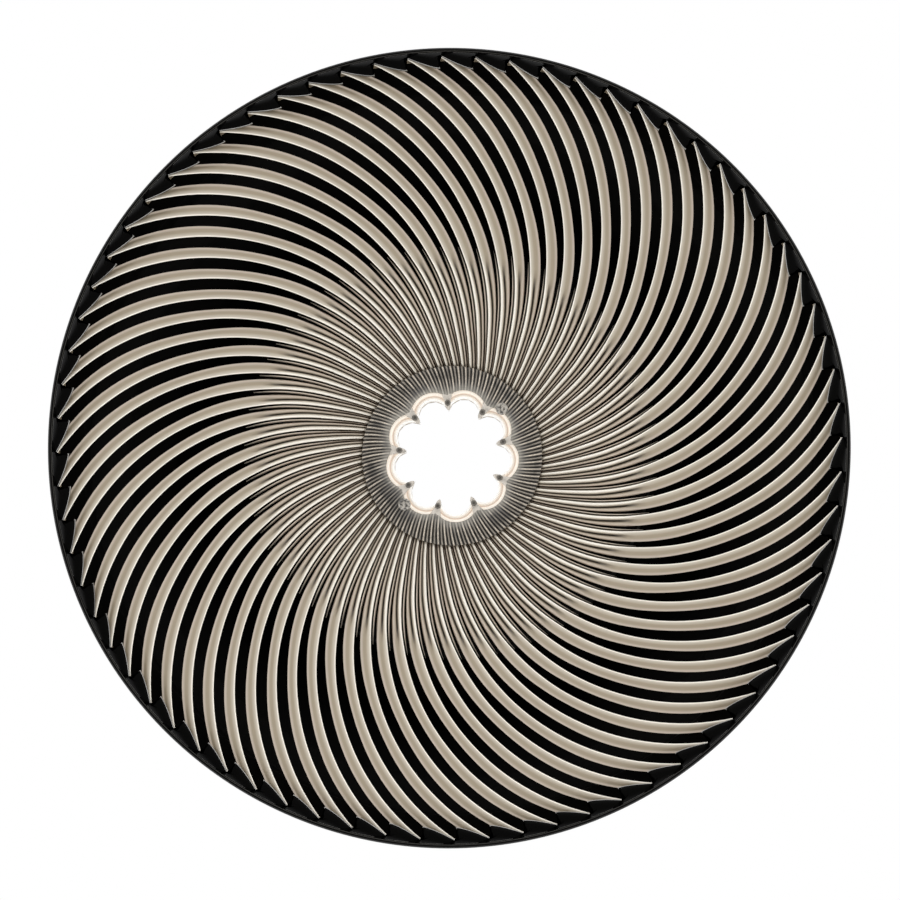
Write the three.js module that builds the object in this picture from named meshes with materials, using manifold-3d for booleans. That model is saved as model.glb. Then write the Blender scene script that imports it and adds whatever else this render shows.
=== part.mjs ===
// Round ceiling air diffuser: a recessed cone of 72 curved vanes round a nine-lobed open centre,
// in a slim black rim, with its rear hood, duct neck, rotary damper and three sprung turn clips.
// Millimetres. +Z points up towards the ceiling void, z = 0 is the lowest edge of the rim,
// and the Z axis is the axis of the diffuser.

import * as THREE from 'three';
import { mergeVertices } from 'three/addons/utils/BufferGeometryUtils.js';
import Module from 'manifold-3d';

const wasm = await Module();
wasm.setup();

// ---- clearances ----
const GAP = 0.3;              // between pieces that rest on or sit in each other
const HOLE_PLAY = 0.4;        // screw holes, added to the radius of the shank
const BITE = 1;               // how far joined shapes reach into each other, and cutters past a face

// ---- rim ----
const RIM_R = 300;            // outer radius of the whole diffuser
const RIM_WALL = 4;
const RIM_HEIGHT = 24;
const RIM_REBATE = 1.2;       // width of the rebate that the face ring is pushed up into
const RIM_CHAMFER = 1.2;

// ---- face ring ----
const FACE_THICK = 3;
const FACE_SETBACK = 1.5;     // from the rim's lowest edge up to the face ring
const VANES = 72;
const TIP_MARGIN = 2.2;       // from the rim's bore to the tips of the saw
const TOOTH_DEPTH = 9.4;      // from tip circle to shoulder circle
const TIP_ANGLE = -1.1;       // degrees, place of the first tip
const SLOT_END_ANGLE = -0.3;  // degrees, from a tip to the corner where the slot ends
const SLOT_END_DROP = 1.1;    // how far that corner lies inside the tip circle

// ---- vane cone ----
const CONE_ANGLE = 25;        // degrees from the face plane
const VANE_NOSE = 1.2;        // degrees, from a vane's arc to its nose
const VANE_TAIL = 1.3;        // degrees, from a vane's arc to its tail
const VANE_TAIL_INNER = 2.1;  // the same over the core
const SPREAD_SHARE = 0.676;   // of the rim's bore; inside this circle the vanes grow wider
const VANE_RISE = 8;          // from the nose of a vane up to its tail
const VANE_RISE_INNER = 3;    // the same at the inner end
const VANE_THICK = 1.6;
const VANE_STEPS = 8;
const FLUTE_STEPS = 3;
const ARC_SHARE = 0.5625;     // of the rim's bore; every vane follows one arc of this radius in plan
const ARC_CENTRE_SHARE = 0.598; // the same for the distance of that arc's centre from the axis
const ARC_TURN = -30.5;       // degrees, direction of the first arc's centre
const CURL_SHARE = 0.374;     // of the rim's bore; inside this circle the vanes curl away
const CURL = 19.9;            // degrees, strength of the curl
const ROOT_BAND = 1.6;        // wall of the outer band that carries the vanes
const HUB_R = 62;             // bore of the inner band that carries the vanes
const HUB_WALL = 7;
const HUB_HEIGHT = 8;

// ---- fluted core behind the inner half of the vanes ----
const CORE_SHARE = 0.52;      // of the rim's bore
const CORE_WALL = 3;
const FLUTE_ANGLE = -1.65;    // degrees, from a vane's arc to the flute beside it
const FLUTE_HALF = 0.3;       // degrees, half the width of a flute
const FLUTE_DROP = 4;         // from the noses of the vanes up to the crest of a flute
const FLUTE_MARGIN = 3;       // from the hub band and from the core's edge to a flute's ends
const CORE_LIP = 8;           // width of the lip that is clamped over the hub band

// ---- nine-lobed centre ----
const LOBES = 9;
const LOBE_CENTRE_R = 34;     // centre of each lobe's arc
const LOBE_R = 12;            // radius of each lobe's arc
const LOBE_TURN = 5.4;        // degrees, direction of the first lobe
const LOBE_FACETS = 6;
const TRIM_REVEAL = 6.2;      // width of the trim that shows inside the collar
const TRIM_DEPTH = 7.5;
const COLLAR_R = 70;
const COLLAR_THICK = 4;
const COLLAR_DROP = 1.3;      // from the noses of the vanes down to the collar's back
const FINGER_WIDTH = 5.6;     // of the collar's nine fingers between the lobes
const FINGER_SETBACK = 1.6;   // from the opening's cusps out to the fingers' tips
const FINGER_ROOT = 4;        // how far a finger reaches into the collar's ring
const CLAMP_R = 68;
const CLAMP_THICK = 3;
const LOBE_SCREW_INSET = 6.1; // from the opening's cusps out to the screws
const CENTRE_SCREW_CIRCLE = 57.5;
const CENTRE_SCREW_ANGLES = [-43, 134];

// ---- small screws ----
const SCREW_R = 1.25;
const SCREW_HEAD_R = 2.4;
const SCREW_HEAD_HEIGHT = 1.5;
const RIM_SCREWS = 6;
const RIM_SCREW_HEAD_R = 1.7;
const RIM_SCREW_R = 0.9;
const RIM_SCREW_DEPTH = 9;    // of the holes in the rim

// ---- rear hood ----
const SHEET = 1.5;            // steel sheet of flange, hood, neck and damper
const HOOD_INSET = 20;        // from the rim's bore in to the hood's upright wall
const HOOD_WALL_HEIGHT = 36;
const HOOD_TOP_WIDTH = 33.5;  // from the neck out to where the cone meets the flat top
const HOOD_CLEARANCE = 24.2;  // from the clamp ring up to the hood's flat top
const GASKET_WIDTH = 7;
const GASKET_THICK = 5;

// ---- duct neck and damper ----
const DUCT_R = 156.5;         // outer radius of the neck, for duct of 315 mm
const NECK_WALL = 1.2;
const NECK_HEIGHT = 64;
const NECK_FOOT = 11.5;       // width of the outer foot that rests on the hood
const NECK_LEDGE = 5.5;       // width of the inner ledge that carries the damper
const SEAL_DROP = 21;         // from the neck's mouth down to the seal's lower edge
const SEAL_HEIGHT = 10;
const SEAL_BAND = 1.2;        // thickness of the band that the two lips stand on
const SEAL_LIP = 5;
const SEAL_FOLD = 2;          // how far a lip's tip leans down
const DAMPER_BORE_R = 72;
const WINDOWS = 9;
const WINDOW_ANGLE = 18;      // degrees
const WINDOW_MARGIN = 12;     // from a damper ring's edges to its windows
const ROTOR_MARGIN = 7;       // from the neck's bore to the rotor's edge
const ROTOR_SETBACK = 2;      // from the plate's bore back to the rotor's bore
const KEEPERS = 3;
const KEEPER_WIDTH = 14;
const KEEPER_PLAY = 1.2;      // from the neck's bore to a keeper
const KEEPER_HOOK = 4;        // how far a keeper reaches over the rotor
const KEEPER_TURN = 20;       // degrees, direction of the first keeper
const LEVER_WIDTH = 12;
const LEVER_DROP = 29;
const LEVER_INSET = 7;        // from the damper's bore in to the lever's leg
const GRIP_R = 5;
const GRIP_LENGTH = 8;

// ---- sprung turn clips ----
const CLIPS = 3;
const CLIP_TURN = 30;         // degrees, direction of the first clip
const CLIP_PLAY = 0.2;        // from the hood's wall to a jaw's heel
const CLIP_BASE_LENGTH = 26;
const CLIP_BASE_THICK = 2;
const POST_R = 2;
const POST_HEIGHT = 52;
const SHOULDER_R = 3;
const SHOULDER_HEIGHT = 8.6;
const BUSH_R = 2.9;
const BUSH_FLANGE = 1;        // width of the flange at a bush's foot
const BUSH_HEIGHT = 11;
const BUSH_FLANGE_HEIGHT = 1.5;
const JAW_HEEL = 1.1;         // wall of a jaw's round heel
const JAW_SIDE = 0.6;         // from a bush out to the sides of its jaw
const JAW_LENGTH = 32;
const JAW_THICK = 4;
const SPRING_LENGTH = 18.6;
const SPRING_WIRE_R = 0.45;
const SPRING_TURNS = 4;
const NUT_HEIGHT = 5;
const NUT_R = 4.4;

// ---- hanger lugs ----
const LUGS = 3;
const LUG_TURN = 90;          // degrees, direction of the first lug
const LUG_STANDOFF = 4;       // from the neck's foot to a lug
const LUG_WIDTH = 24;
const LUG_HEIGHT = 34;
const LUG_FOOT = 16;
const LUG_SHEET = 2;
const LUG_HOLE_R = 4;
const LUG_HOLE_DROP = 12;     // from the lug's top down to its hole

// ---- facets ----
const ROUND = 72;             // segments of the large circles
const ROUND_PLAIN = 40;       // segments of the hidden circles
const ROUND_SMALL = 10;       // segments of pins and screws
const ROUND_HOLE = 8;         // segments of shanks and their holes
const WINDOW_FACETS = 3;      // segments of the arcs of a damper window
const JAW_FACETS = 6;         // segments of a jaw's round ends

// ---- places that follow from the sizes above ----
const RIM_BORE_R = RIM_R - RIM_WALL;
const CUSP_TURN = LOBE_TURN + 180 / LOBES;
const REBATE_R = RIM_BORE_R + RIM_REBATE;
const ARC_R = ARC_SHARE * RIM_BORE_R;
const ARC_CENTRE_R = ARC_CENTRE_SHARE * RIM_BORE_R;
const SPREAD_R = SPREAD_SHARE * RIM_BORE_R;
const CURL_R = CURL_SHARE * RIM_BORE_R;
const CORE_R = CORE_SHARE * RIM_BORE_R;
const TIP_R = RIM_BORE_R - TIP_MARGIN;
const SHOULDER_CIRCLE_R = TIP_R - TOOTH_DEPTH;
const VANE_Z = FACE_SETBACK + FACE_THICK + GAP;
const FLANGE_Z = RIM_HEIGHT + GAP;
const FLANGE_TOP_Z = FLANGE_Z + SHEET;
const HOOD_R = RIM_BORE_R - HOOD_INSET;
const HOOD_OUTER_R = HOOD_R + SHEET;
const HOOD_SHOULDER_R = DUCT_R + HOOD_TOP_WIDTH;
const HOOD_Z = FLANGE_TOP_Z + GAP;
const HOOD_WALL_TOP_Z = FLANGE_Z + HOOD_WALL_HEIGHT;
const COLLAR_Z = noseHeight(COLLAR_R) - COLLAR_DROP - COLLAR_THICK;
const TRIM_Z = COLLAR_Z + COLLAR_THICK + GAP;
const HUB_Z = TRIM_Z + GAP;
const CORE_LIP_Z = HUB_Z + HUB_HEIGHT + GAP;
const CLAMP_Z = CORE_LIP_Z + CORE_WALL + GAP;
const HOOD_TOP_Z = CLAMP_Z + CLAMP_THICK + HOOD_CLEARANCE;
const NECK_Z = HOOD_TOP_Z + SHEET + GAP;
const NECK_BORE_R = DUCT_R - NECK_WALL;
const DAMPER_Z = NECK_Z + SHEET + GAP;
const ROTOR_Z = DAMPER_Z + SHEET + GAP;
const ROTOR_R = NECK_BORE_R - ROTOR_MARGIN;
const LEVER_Z = ROTOR_Z + SHEET + GAP;
const LEVER_TOP_Z = LEVER_Z + SHEET;
const LEVER_R = DAMPER_BORE_R - LEVER_INSET;
const FINGER_TIP_R = cuspR(0) + FINGER_SETBACK;
const LOBE_SCREW_CIRCLE = cuspR(0) + LOBE_SCREW_INSET;
const BUSH_FLANGE_R = BUSH_R + BUSH_FLANGE;
const JAW_HEEL_R = BUSH_R + GAP + JAW_HEEL;
const JAW_WIDTH = 2 * (BUSH_R + JAW_SIDE);
const CLIP_STANDOFF = JAW_HEEL_R + CLIP_PLAY;
const RIM_SCREW_CIRCLE = RIM_R - RIM_WALL / 2;
const HUB_OUTER_R = HUB_R + HUB_WALL;

const colours = {
  black: new THREE.MeshStandardMaterial({ color: 0x0c0b0a, roughness: 0.2, metalness: 0 }),
  champagne: new THREE.MeshStandardMaterial({ color: 0xb9a98f, roughness: 0.35, metalness: 0.5 }),
  smoke: new THREE.MeshStandardMaterial({ color: 0x55534f, roughness: 0.15, metalness: 0 }),
  cream: new THREE.MeshStandardMaterial({ color: 0xe8dccb, roughness: 0.4, metalness: 0 }),
  blackSteel: new THREE.MeshStandardMaterial({ color: 0x141414, roughness: 0.6, metalness: 0.3 }),
  zinc: new THREE.MeshStandardMaterial({ color: 0xb4b7b8, roughness: 0.4, metalness: 1 }),
  darkSteel: new THREE.MeshStandardMaterial({ color: 0x3a3836, roughness: 0.4, metalness: 1 }),
  rubber: new THREE.MeshStandardMaterial({ color: 0x1a1a1a, roughness: 0.8, metalness: 0 }),
  foam: new THREE.MeshStandardMaterial({ color: 0x33322f, roughness: 0.95, metalness: 0 }),
  nylon: new THREE.MeshStandardMaterial({ color: 0xd9d6cc, roughness: 0.5, metalness: 0 }),
};

const diffuser = new THREE.Group();

function radians(degrees) {
  return degrees * Math.PI / 180;
}

function add(name, geometry, material, parent = diffuser) {
  const mesh = new THREE.Mesh(geometry, material);
  mesh.name = name;
  parent.add(mesh);
  return mesh;
}

// ---- geometry helpers ----

// A closed profile of [radius, height] pairs, anticlockwise, turned about the Z axis.
function ring(profile, segments) {
  const points = [...profile, profile[0]].map(([r, z]) => new THREE.Vector2(r, z));
  return new THREE.LatheGeometry(points, segments).rotateX(Math.PI / 2);
}

function tube(inner, outer, low, high, segments) {
  return ring([[inner, low], [outer, low], [outer, high], [inner, high]], segments);
}

function rod(radius, low, high, segments = ROUND_SMALL) {
  return new THREE.CylinderGeometry(radius, radius, high - low, segments)
    .rotateX(Math.PI / 2)
    .translate(0, 0, (low + high) / 2);
}

function plate(shape, low, high, curveSegments = JAW_FACETS) {
  return new THREE.ExtrudeGeometry(shape, { depth: high - low, bevelEnabled: false, curveSegments })
    .translate(0, 0, low);
}

function circle(radius, segments) {
  const points = [];
  for (let i = 0; i < segments; i += 1) {
    const turn = 2 * Math.PI * i / segments;
    points.push(new THREE.Vector2(radius * Math.cos(turn), radius * Math.sin(turn)));
  }
  return new THREE.Shape(points);
}

function toSolid(geometry) {
  const bare = geometry.clone();
  bare.deleteAttribute('normal');
  bare.deleteAttribute('uv');
  const merged = mergeVertices(bare, 1e-4);
  return new wasm.Manifold(new wasm.Mesh({
    numProp: 3,
    vertProperties: new Float32Array(merged.attributes.position.array),
    triVerts: new Uint32Array(merged.index.array),
  }));
}

function toGeometry(solid) {
  const mesh = solid.getMesh();
  const geometry = new THREE.BufferGeometry();
  geometry.setAttribute('position', new THREE.BufferAttribute(mesh.vertProperties, 3));
  geometry.setIndex(new THREE.BufferAttribute(mesh.triVerts, 1));
  return geometry;
}

function join(geometries) {
  return geometries.map(toSolid).reduce((whole, piece) => whole.add(piece));
}

function cut(geometry, tools) {
  return toGeometry(tools.map(toSolid).reduce((whole, tool) => whole.subtract(tool), toSolid(geometry)));
}

function turned(geometry, degrees) {
  return geometry.clone().rotateZ(radians(degrees));
}

// Copies of one geometry, moved out to a radius and spread evenly round the axis.
function spread(geometry, count, radius, firstAngle) {
  const copies = [];
  for (let i = 0; i < count; i += 1) {
    copies.push(turned(geometry.clone().translate(radius, 0, 0), firstAngle + 360 * i / count));
  }
  return copies;
}

// ---- rim and face ----

function rimHoop() {
  const profile = [
    [REBATE_R, 0],
    [RIM_R - RIM_CHAMFER, 0],
    [RIM_R, RIM_CHAMFER],
    [RIM_R, RIM_HEIGHT],
    [RIM_BORE_R, RIM_HEIGHT],
    [RIM_BORE_R, VANE_Z],
    [REBATE_R, VANE_Z],
  ];
  const hole = rod(RIM_SCREW_R + GAP, RIM_HEIGHT - RIM_SCREW_DEPTH, RIM_HEIGHT + BITE, ROUND_HOLE);
  return cut(ring(profile, ROUND), spread(hole, RIM_SCREWS, RIM_SCREW_CIRCLE, 0));
}

// The inner edge is a saw with one tooth for each vane: a radial step, a short slot end, and a long flank.
function faceRing() {
  const pitch = 360 / VANES;
  const saw = [];
  for (let i = 0; i < VANES; i += 1) {
    const tip = TIP_ANGLE + i * pitch;
    saw.push([SHOULDER_CIRCLE_R, tip], [TIP_R - SLOT_END_DROP, tip + SLOT_END_ANGLE], [TIP_R, tip]);
  }
  const hole = new THREE.Path(saw.map(([r, angle]) => new THREE.Vector2(
    r * Math.cos(radians(angle)),
    r * Math.sin(radians(angle)),
  )));
  const shape = circle(REBATE_R - GAP, ROUND);
  shape.holes.push(hole);
  return plate(shape, FACE_SETBACK, FACE_SETBACK + FACE_THICK);
}

// ---- vanes ----

// Height of a vane's nose above z = 0: the noses lie on a cone.
function noseHeight(r) {
  return VANE_Z + (RIM_BORE_R - r) * Math.tan(radians(CONE_ANGLE));
}

function vaneRise(r) {
  const along = THREE.MathUtils.clamp((r - HUB_R) / (CORE_R - HUB_R), 0, 1);
  return THREE.MathUtils.lerp(VANE_RISE_INNER, VANE_RISE, along);
}

// Direction, in radians, of a vane's arc where it crosses a circle round the axis.
function vaneAngle(r) {
  const cosine = (r * r + ARC_CENTRE_R ** 2 - ARC_R ** 2) / (2 * r * ARC_CENTRE_R);
  const curl = CURL * Math.max(0, 1 - r / CURL_R) ** 2;
  return Math.acos(cosine) + radians(ARC_TURN + curl);
}

// A bar bent along the arc. Its sides lie at two angles from the arc, and heights gives its
// underside and its top at a radius and a share of the way from the first side to the second.
function bentBar(inner, outer, steps, sides, heights) {
  const bar = new THREE.BoxGeometry(1, 1, 1, steps, 1, 1);
  const place = bar.attributes.position;
  for (let i = 0; i < place.count; i += 1) {
    const r = THREE.MathUtils.lerp(inner, outer, place.getX(i) + 0.5);
    const across = place.getY(i) + 0.5;
    const [first, second] = sides(r);
    const angle = vaneAngle(r) + radians(THREE.MathUtils.lerp(first, second, across));
    const [low, high] = heights(r, across);
    place.setXYZ(i, r * Math.cos(angle), r * Math.sin(angle), place.getZ(i) < 0 ? low : high);
  }
  return bar;
}

function vane() {
  const sides = (r) => {
    const inward = THREE.MathUtils.clamp((SPREAD_R - r) / (SPREAD_R - CORE_R), 0, 1);
    return [-VANE_NOSE, THREE.MathUtils.lerp(VANE_TAIL, VANE_TAIL_INNER, inward)];
  };
  const heights = (r, across) => {
    const low = noseHeight(r) + across * vaneRise(r);
    return [low, low + VANE_THICK];
  };
  const outer = RIM_BORE_R - GAP - ROOT_BAND / 2;
  return bentBar(HUB_R + HUB_WALL / 2, outer, VANE_STEPS, sides, heights);
}

function vaneDisc() {
  const outer = RIM_BORE_R - GAP;
  const band = tube(outer - ROOT_BAND, outer, VANE_Z, RIM_HEIGHT, ROUND);
  const hub = tube(HUB_R, HUB_OUTER_R, HUB_Z, HUB_Z + HUB_HEIGHT, ROUND);
  const vanes = spread(vane(), VANES, 0, 0);
  return toGeometry(join([band, hub, ...vanes]));
}

// ---- core and centre ----

function coreFront(r) {
  return noseHeight(r) + vaneRise(r) + VANE_THICK + 2 * GAP;
}

// A slim bar on the core's front that stands in the gap between two vanes.
function flute() {
  const sides = () => [FLUTE_ANGLE - FLUTE_HALF, FLUTE_ANGLE + FLUTE_HALF];
  const heights = (r) => [noseHeight(r) + FLUTE_DROP, coreFront(r) + BITE];
  return bentBar(HUB_OUTER_R + FLUTE_MARGIN, CORE_R - FLUTE_MARGIN, FLUTE_STEPS, sides, heights);
}

function flutedCore() {
  const throat = HUB_OUTER_R + GAP;
  const lipR = HUB_R - CORE_LIP;
  const lipTop = CORE_LIP_Z + CORE_WALL;
  const cone = ring([
    [lipR, CORE_LIP_Z],
    [throat, CORE_LIP_Z],
    [CORE_R, coreFront(CORE_R)],
    [CORE_R, coreFront(CORE_R) + CORE_WALL],
    [throat, lipTop],
    [lipR, lipTop],
  ], ROUND_PLAIN);
  const fluted = toGeometry(join([cone, ...spread(flute(), VANES, 0, 0)]));
  return cut(fluted, centreScrewHoles());
}

// Distance from the axis of the cusps where the lobes meet, with the outline widened by a margin.
function cuspR(margin) {
  const half = Math.PI / LOBES;
  const radius = LOBE_R + margin;
  return LOBE_CENTRE_R * Math.cos(half)
    + Math.sqrt(radius ** 2 - (LOBE_CENTRE_R * Math.sin(half)) ** 2);
}

// Outline of the nine-lobed opening, each lobe an arc, widened all round by a margin.
function lobedOutline(margin) {
  const radius = LOBE_R + margin;
  const half = Math.PI / LOBES;
  const reach = cuspR(margin);
  const start = Math.atan2(reach * Math.sin(half), reach * Math.cos(half) - LOBE_CENTRE_R);
  const points = [];
  for (let lobe = 0; lobe < LOBES; lobe += 1) {
    const axis = radians(LOBE_TURN) + 2 * half * lobe;
    for (let i = 0; i < LOBE_FACETS; i += 1) {
      const turn = axis - start + 2 * start * i / LOBE_FACETS;
      points.push(new THREE.Vector2(
        LOBE_CENTRE_R * Math.cos(axis) + radius * Math.cos(turn),
        LOBE_CENTRE_R * Math.sin(axis) + radius * Math.sin(turn),
      ));
    }
  }
  return points;
}

function lobedPlate(outerR, margin, low, high) {
  const shape = circle(outerR, ROUND);
  shape.holes.push(new THREE.Path(lobedOutline(margin)));
  return plate(shape, low, high);
}

function screwHole() {
  return rod(SCREW_R + HOLE_PLAY, COLLAR_Z - BITE, CLAMP_Z + CLAMP_THICK + BITE, ROUND_HOLE);
}

function centreScrewHoles() {
  const hole = screwHole().translate(CENTRE_SCREW_CIRCLE, 0, 0);
  return CENTRE_SCREW_ANGLES.map((angle) => turned(hole, angle));
}

function allScrewHoles() {
  return [...spread(screwHole(), LOBES, LOBE_SCREW_CIRCLE, CUSP_TURN), ...centreScrewHoles()];
}

function smokeCollar() {
  const flange = lobedPlate(COLLAR_R, TRIM_REVEAL, COLLAR_Z, COLLAR_Z + COLLAR_THICK);
  const rootR = cuspR(TRIM_REVEAL) + FINGER_ROOT;
  const finger = new THREE.BoxGeometry(rootR - FINGER_TIP_R, FINGER_WIDTH, COLLAR_THICK)
    .translate((rootR + FINGER_TIP_R) / 2, 0, COLLAR_Z + COLLAR_THICK / 2);
  const fingers = spread(finger, LOBES, 0, CUSP_TURN);
  const whole = toGeometry(join([flange, ...fingers]));
  return cut(whole, allScrewHoles());
}

function lobedTrim() {
  const ringPlate = lobedPlate(HUB_R - 2 * GAP, 0, TRIM_Z, TRIM_Z + TRIM_DEPTH);
  return cut(ringPlate, allScrewHoles());
}

function coreClamp() {
  const ringPlate = lobedPlate(CLAMP_R, GAP, CLAMP_Z, CLAMP_Z + CLAMP_THICK);
  return cut(ringPlate, allScrewHoles());
}

function centreScrew() {
  const seat = COLLAR_Z - GAP;
  const head = rod(SCREW_HEAD_R, seat - SCREW_HEAD_HEIGHT, seat);
  const shank = rod(SCREW_R, seat - BITE, CLAMP_Z + CLAMP_THICK, ROUND_HOLE);
  return toGeometry(join([head, shank]));
}

// ---- flange, hood, neck and seals ----

function flangeRing() {
  const flange = tube(HOOD_R, RIM_R - GAP, FLANGE_Z, FLANGE_TOP_Z, ROUND_PLAIN);
  const hole = rod(RIM_SCREW_R + GAP, FLANGE_Z - BITE, FLANGE_TOP_Z + BITE, ROUND_HOLE);
  return cut(flange, spread(hole, RIM_SCREWS, RIM_SCREW_CIRCLE, 0));
}

function rearHood() {
  const top = HOOD_TOP_Z;
  return ring([
    [HOOD_R, HOOD_Z],
    [HOOD_OUTER_R, HOOD_Z],
    [HOOD_OUTER_R, HOOD_WALL_TOP_Z],
    [HOOD_SHOULDER_R, top + SHEET],
    [DUCT_R + GAP, top + SHEET],
    [DUCT_R + GAP, top],
    [HOOD_SHOULDER_R - SHEET, top],
    [HOOD_R, HOOD_WALL_TOP_Z - SHEET / 2],
  ], ROUND_PLAIN);
}

function rimScrew() {
  const seat = FLANGE_TOP_Z + GAP;
  const head = rod(RIM_SCREW_HEAD_R, seat, seat + SCREW_HEAD_HEIGHT);
  const shank = rod(RIM_SCREW_R, RIM_HEIGHT - RIM_SCREW_DEPTH + BITE, seat + BITE, ROUND_HOLE);
  return toGeometry(join([head, shank]));
}

function ceilingGasket() {
  const outer = RIM_BORE_R - GAP;
  const low = FLANGE_TOP_Z + GAP;
  return tube(outer - GASKET_WIDTH, outer, low, low + GASKET_THICK, ROUND_PLAIN);
}

function neckSpigot() {
  const top = NECK_Z + NECK_HEIGHT;
  const sheetTop = NECK_Z + SHEET;
  return ring([
    [NECK_BORE_R - NECK_LEDGE, NECK_Z],
    [DUCT_R + NECK_FOOT, NECK_Z],
    [DUCT_R + NECK_FOOT, sheetTop],
    [DUCT_R, sheetTop],
    [DUCT_R, top],
    [NECK_BORE_R, top],
    [NECK_BORE_R, sheetTop],
    [NECK_BORE_R - NECK_LEDGE, sheetTop],
  ], ROUND_PLAIN);
}

function neckSeal() {
  const low = NECK_Z + NECK_HEIGHT - SEAL_DROP;
  const inner = DUCT_R + GAP;
  const band = inner + SEAL_BAND;
  const tip = inner + SEAL_LIP;
  const half = SEAL_HEIGHT / 2;
  return ring([
    [inner, low],
    [band, low],
    [tip, low + half - SEAL_FOLD],
    [band, low + half - SEAL_FOLD / 2],
    [band, low + half],
    [tip, low + SEAL_HEIGHT - SEAL_FOLD],
    [band, low + SEAL_HEIGHT],
    [inner, low + SEAL_HEIGHT],
  ], ROUND_PLAIN);
}

// ---- damper ----

// A sheet ring with a window in each of nine equal parts.
function windowedRing(innerR, outerR, low) {
  const shape = circle(outerR, ROUND_PLAIN);
  shape.holes.push(circle(innerR, ROUND_PLAIN));
  const half = radians(WINDOW_ANGLE / 2);
  for (let i = 0; i < WINDOWS; i += 1) {
    const middle = 2 * Math.PI * i / WINDOWS;
    const window = new THREE.Path();
    window.absarc(0, 0, ROTOR_R - WINDOW_MARGIN, middle - half, middle + half, false);
    window.absarc(0, 0, DAMPER_BORE_R + WINDOW_MARGIN, middle + half, middle - half, true);
    shape.holes.push(window);
  }
  return plate(shape, low, low + SHEET, WINDOW_FACETS);
}

function rotorKeeper() {
  const foot = NECK_BORE_R - KEEPER_PLAY;
  const edge = ROTOR_R + GAP;
  const hook = edge - KEEPER_HOOK;
  const outline = new THREE.Shape([
    new THREE.Vector2(edge, ROTOR_Z),
    new THREE.Vector2(foot, ROTOR_Z),
    new THREE.Vector2(foot, LEVER_TOP_Z),
    new THREE.Vector2(hook, LEVER_TOP_Z),
    new THREE.Vector2(hook, LEVER_Z),
    new THREE.Vector2(edge, LEVER_Z),
  ]);
  return standing(plate(outline, -KEEPER_WIDTH / 2, KEEPER_WIDTH / 2));
}

// Turns a plate drawn in radius and height so that it stands upright along the X axis.
function standing(geometry) {
  return geometry.rotateX(Math.PI / 2);
}

function damperLever() {
  const foot = DAMPER_BORE_R + WINDOW_MARGIN - GAP;
  const low = LEVER_TOP_Z - LEVER_DROP;
  const outline = new THREE.Shape([
    new THREE.Vector2(LEVER_R, low),
    new THREE.Vector2(LEVER_R + SHEET, low),
    new THREE.Vector2(LEVER_R + SHEET, LEVER_Z),
    new THREE.Vector2(foot, LEVER_Z),
    new THREE.Vector2(foot, LEVER_TOP_Z),
    new THREE.Vector2(LEVER_R, LEVER_TOP_Z),
  ]);
  return standing(plate(outline, -LEVER_WIDTH / 2, LEVER_WIDTH / 2));
}

function leverGrip() {
  const z = LEVER_TOP_Z - LEVER_DROP + LEVER_WIDTH / 2;
  return new THREE.CylinderGeometry(0.8 * GRIP_R, GRIP_R, GRIP_LENGTH, 2 * ROUND_HOLE)
    .rotateZ(Math.PI / 2)
    .translate(LEVER_R - GAP - GRIP_LENGTH / 2, 0, z);
}

// ---- turn clips and lugs, drawn on the X axis with the post at the origin ----

const CLIP_R = HOOD_OUTER_R + CLIP_STANDOFF;
const CLIP_Z = FLANGE_TOP_Z + GAP;
const SHOULDER_TOP_Z = CLIP_Z + CLIP_BASE_THICK + SHOULDER_HEIGHT;
const BUSH_Z = SHOULDER_TOP_Z + GAP;
const JAW_Z = BUSH_Z + BUSH_FLANGE_HEIGHT + GAP;
const SPRING_Z = BUSH_Z + BUSH_HEIGHT + GAP;
const NUT_Z = SPRING_Z + SPRING_LENGTH + GAP;

function clipPost() {
  const base = new THREE.BoxGeometry(2 * CLIP_STANDOFF - 2 * GAP, CLIP_BASE_LENGTH, CLIP_BASE_THICK)
    .translate(0, 0, CLIP_Z + CLIP_BASE_THICK / 2);
  const shoulder = rod(SHOULDER_R, CLIP_Z + BITE, SHOULDER_TOP_Z);
  const post = rod(POST_R, CLIP_Z + BITE, CLIP_Z + POST_HEIGHT);
  return toGeometry(join([base, shoulder, post]));
}

function clipBush() {
  const bore = POST_R + GAP;
  const flangeTop = BUSH_Z + BUSH_FLANGE_HEIGHT;
  return ring([
    [bore, BUSH_Z],
    [BUSH_FLANGE_R, BUSH_Z],
    [BUSH_FLANGE_R, flangeTop],
    [BUSH_R, flangeTop],
    [BUSH_R, BUSH_Z + BUSH_HEIGHT],
    [bore, BUSH_Z + BUSH_HEIGHT],
  ], ROUND_SMALL + 2);
}

function clipJaw() {
  const half = JAW_WIDTH / 2;
  const outline = new THREE.Shape();
  outline.absarc(0, 0, JAW_HEEL_R, Math.PI, 2 * Math.PI, false);
  outline.lineTo(half, half);
  outline.lineTo(half, JAW_LENGTH - half);
  outline.absarc(0, JAW_LENGTH - half, half, 0, Math.PI, false);
  outline.lineTo(-half, half);
  outline.holes.push(circle(BUSH_R + GAP, ROUND_SMALL + 2));
  return plate(outline, JAW_Z, JAW_Z + JAW_THICK);
}

class Helix extends THREE.Curve {
  getPoint(t) {
    const turn = 2 * Math.PI * SPRING_TURNS * t;
    const radius = BUSH_R + SPRING_WIRE_R / 2;
    const rise = SPRING_WIRE_R + (SPRING_LENGTH - 2 * SPRING_WIRE_R) * t;
    return new THREE.Vector3(radius * Math.cos(turn), radius * Math.sin(turn), SPRING_Z + rise);
  }
}

function clipSpring() {
  const section = circle(SPRING_WIRE_R, 4);
  return new THREE.ExtrudeGeometry(section, {
    steps: 8 * SPRING_TURNS,
    extrudePath: new Helix(),
    bevelEnabled: false,
  });
}

// A hexagon inside and out, so the bore is measured across its flats.
function clipNut() {
  const bore = (POST_R + GAP) / Math.cos(Math.PI / 6);
  return tube(bore, NUT_R, NUT_Z, NUT_Z + NUT_HEIGHT, 6);
}

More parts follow.
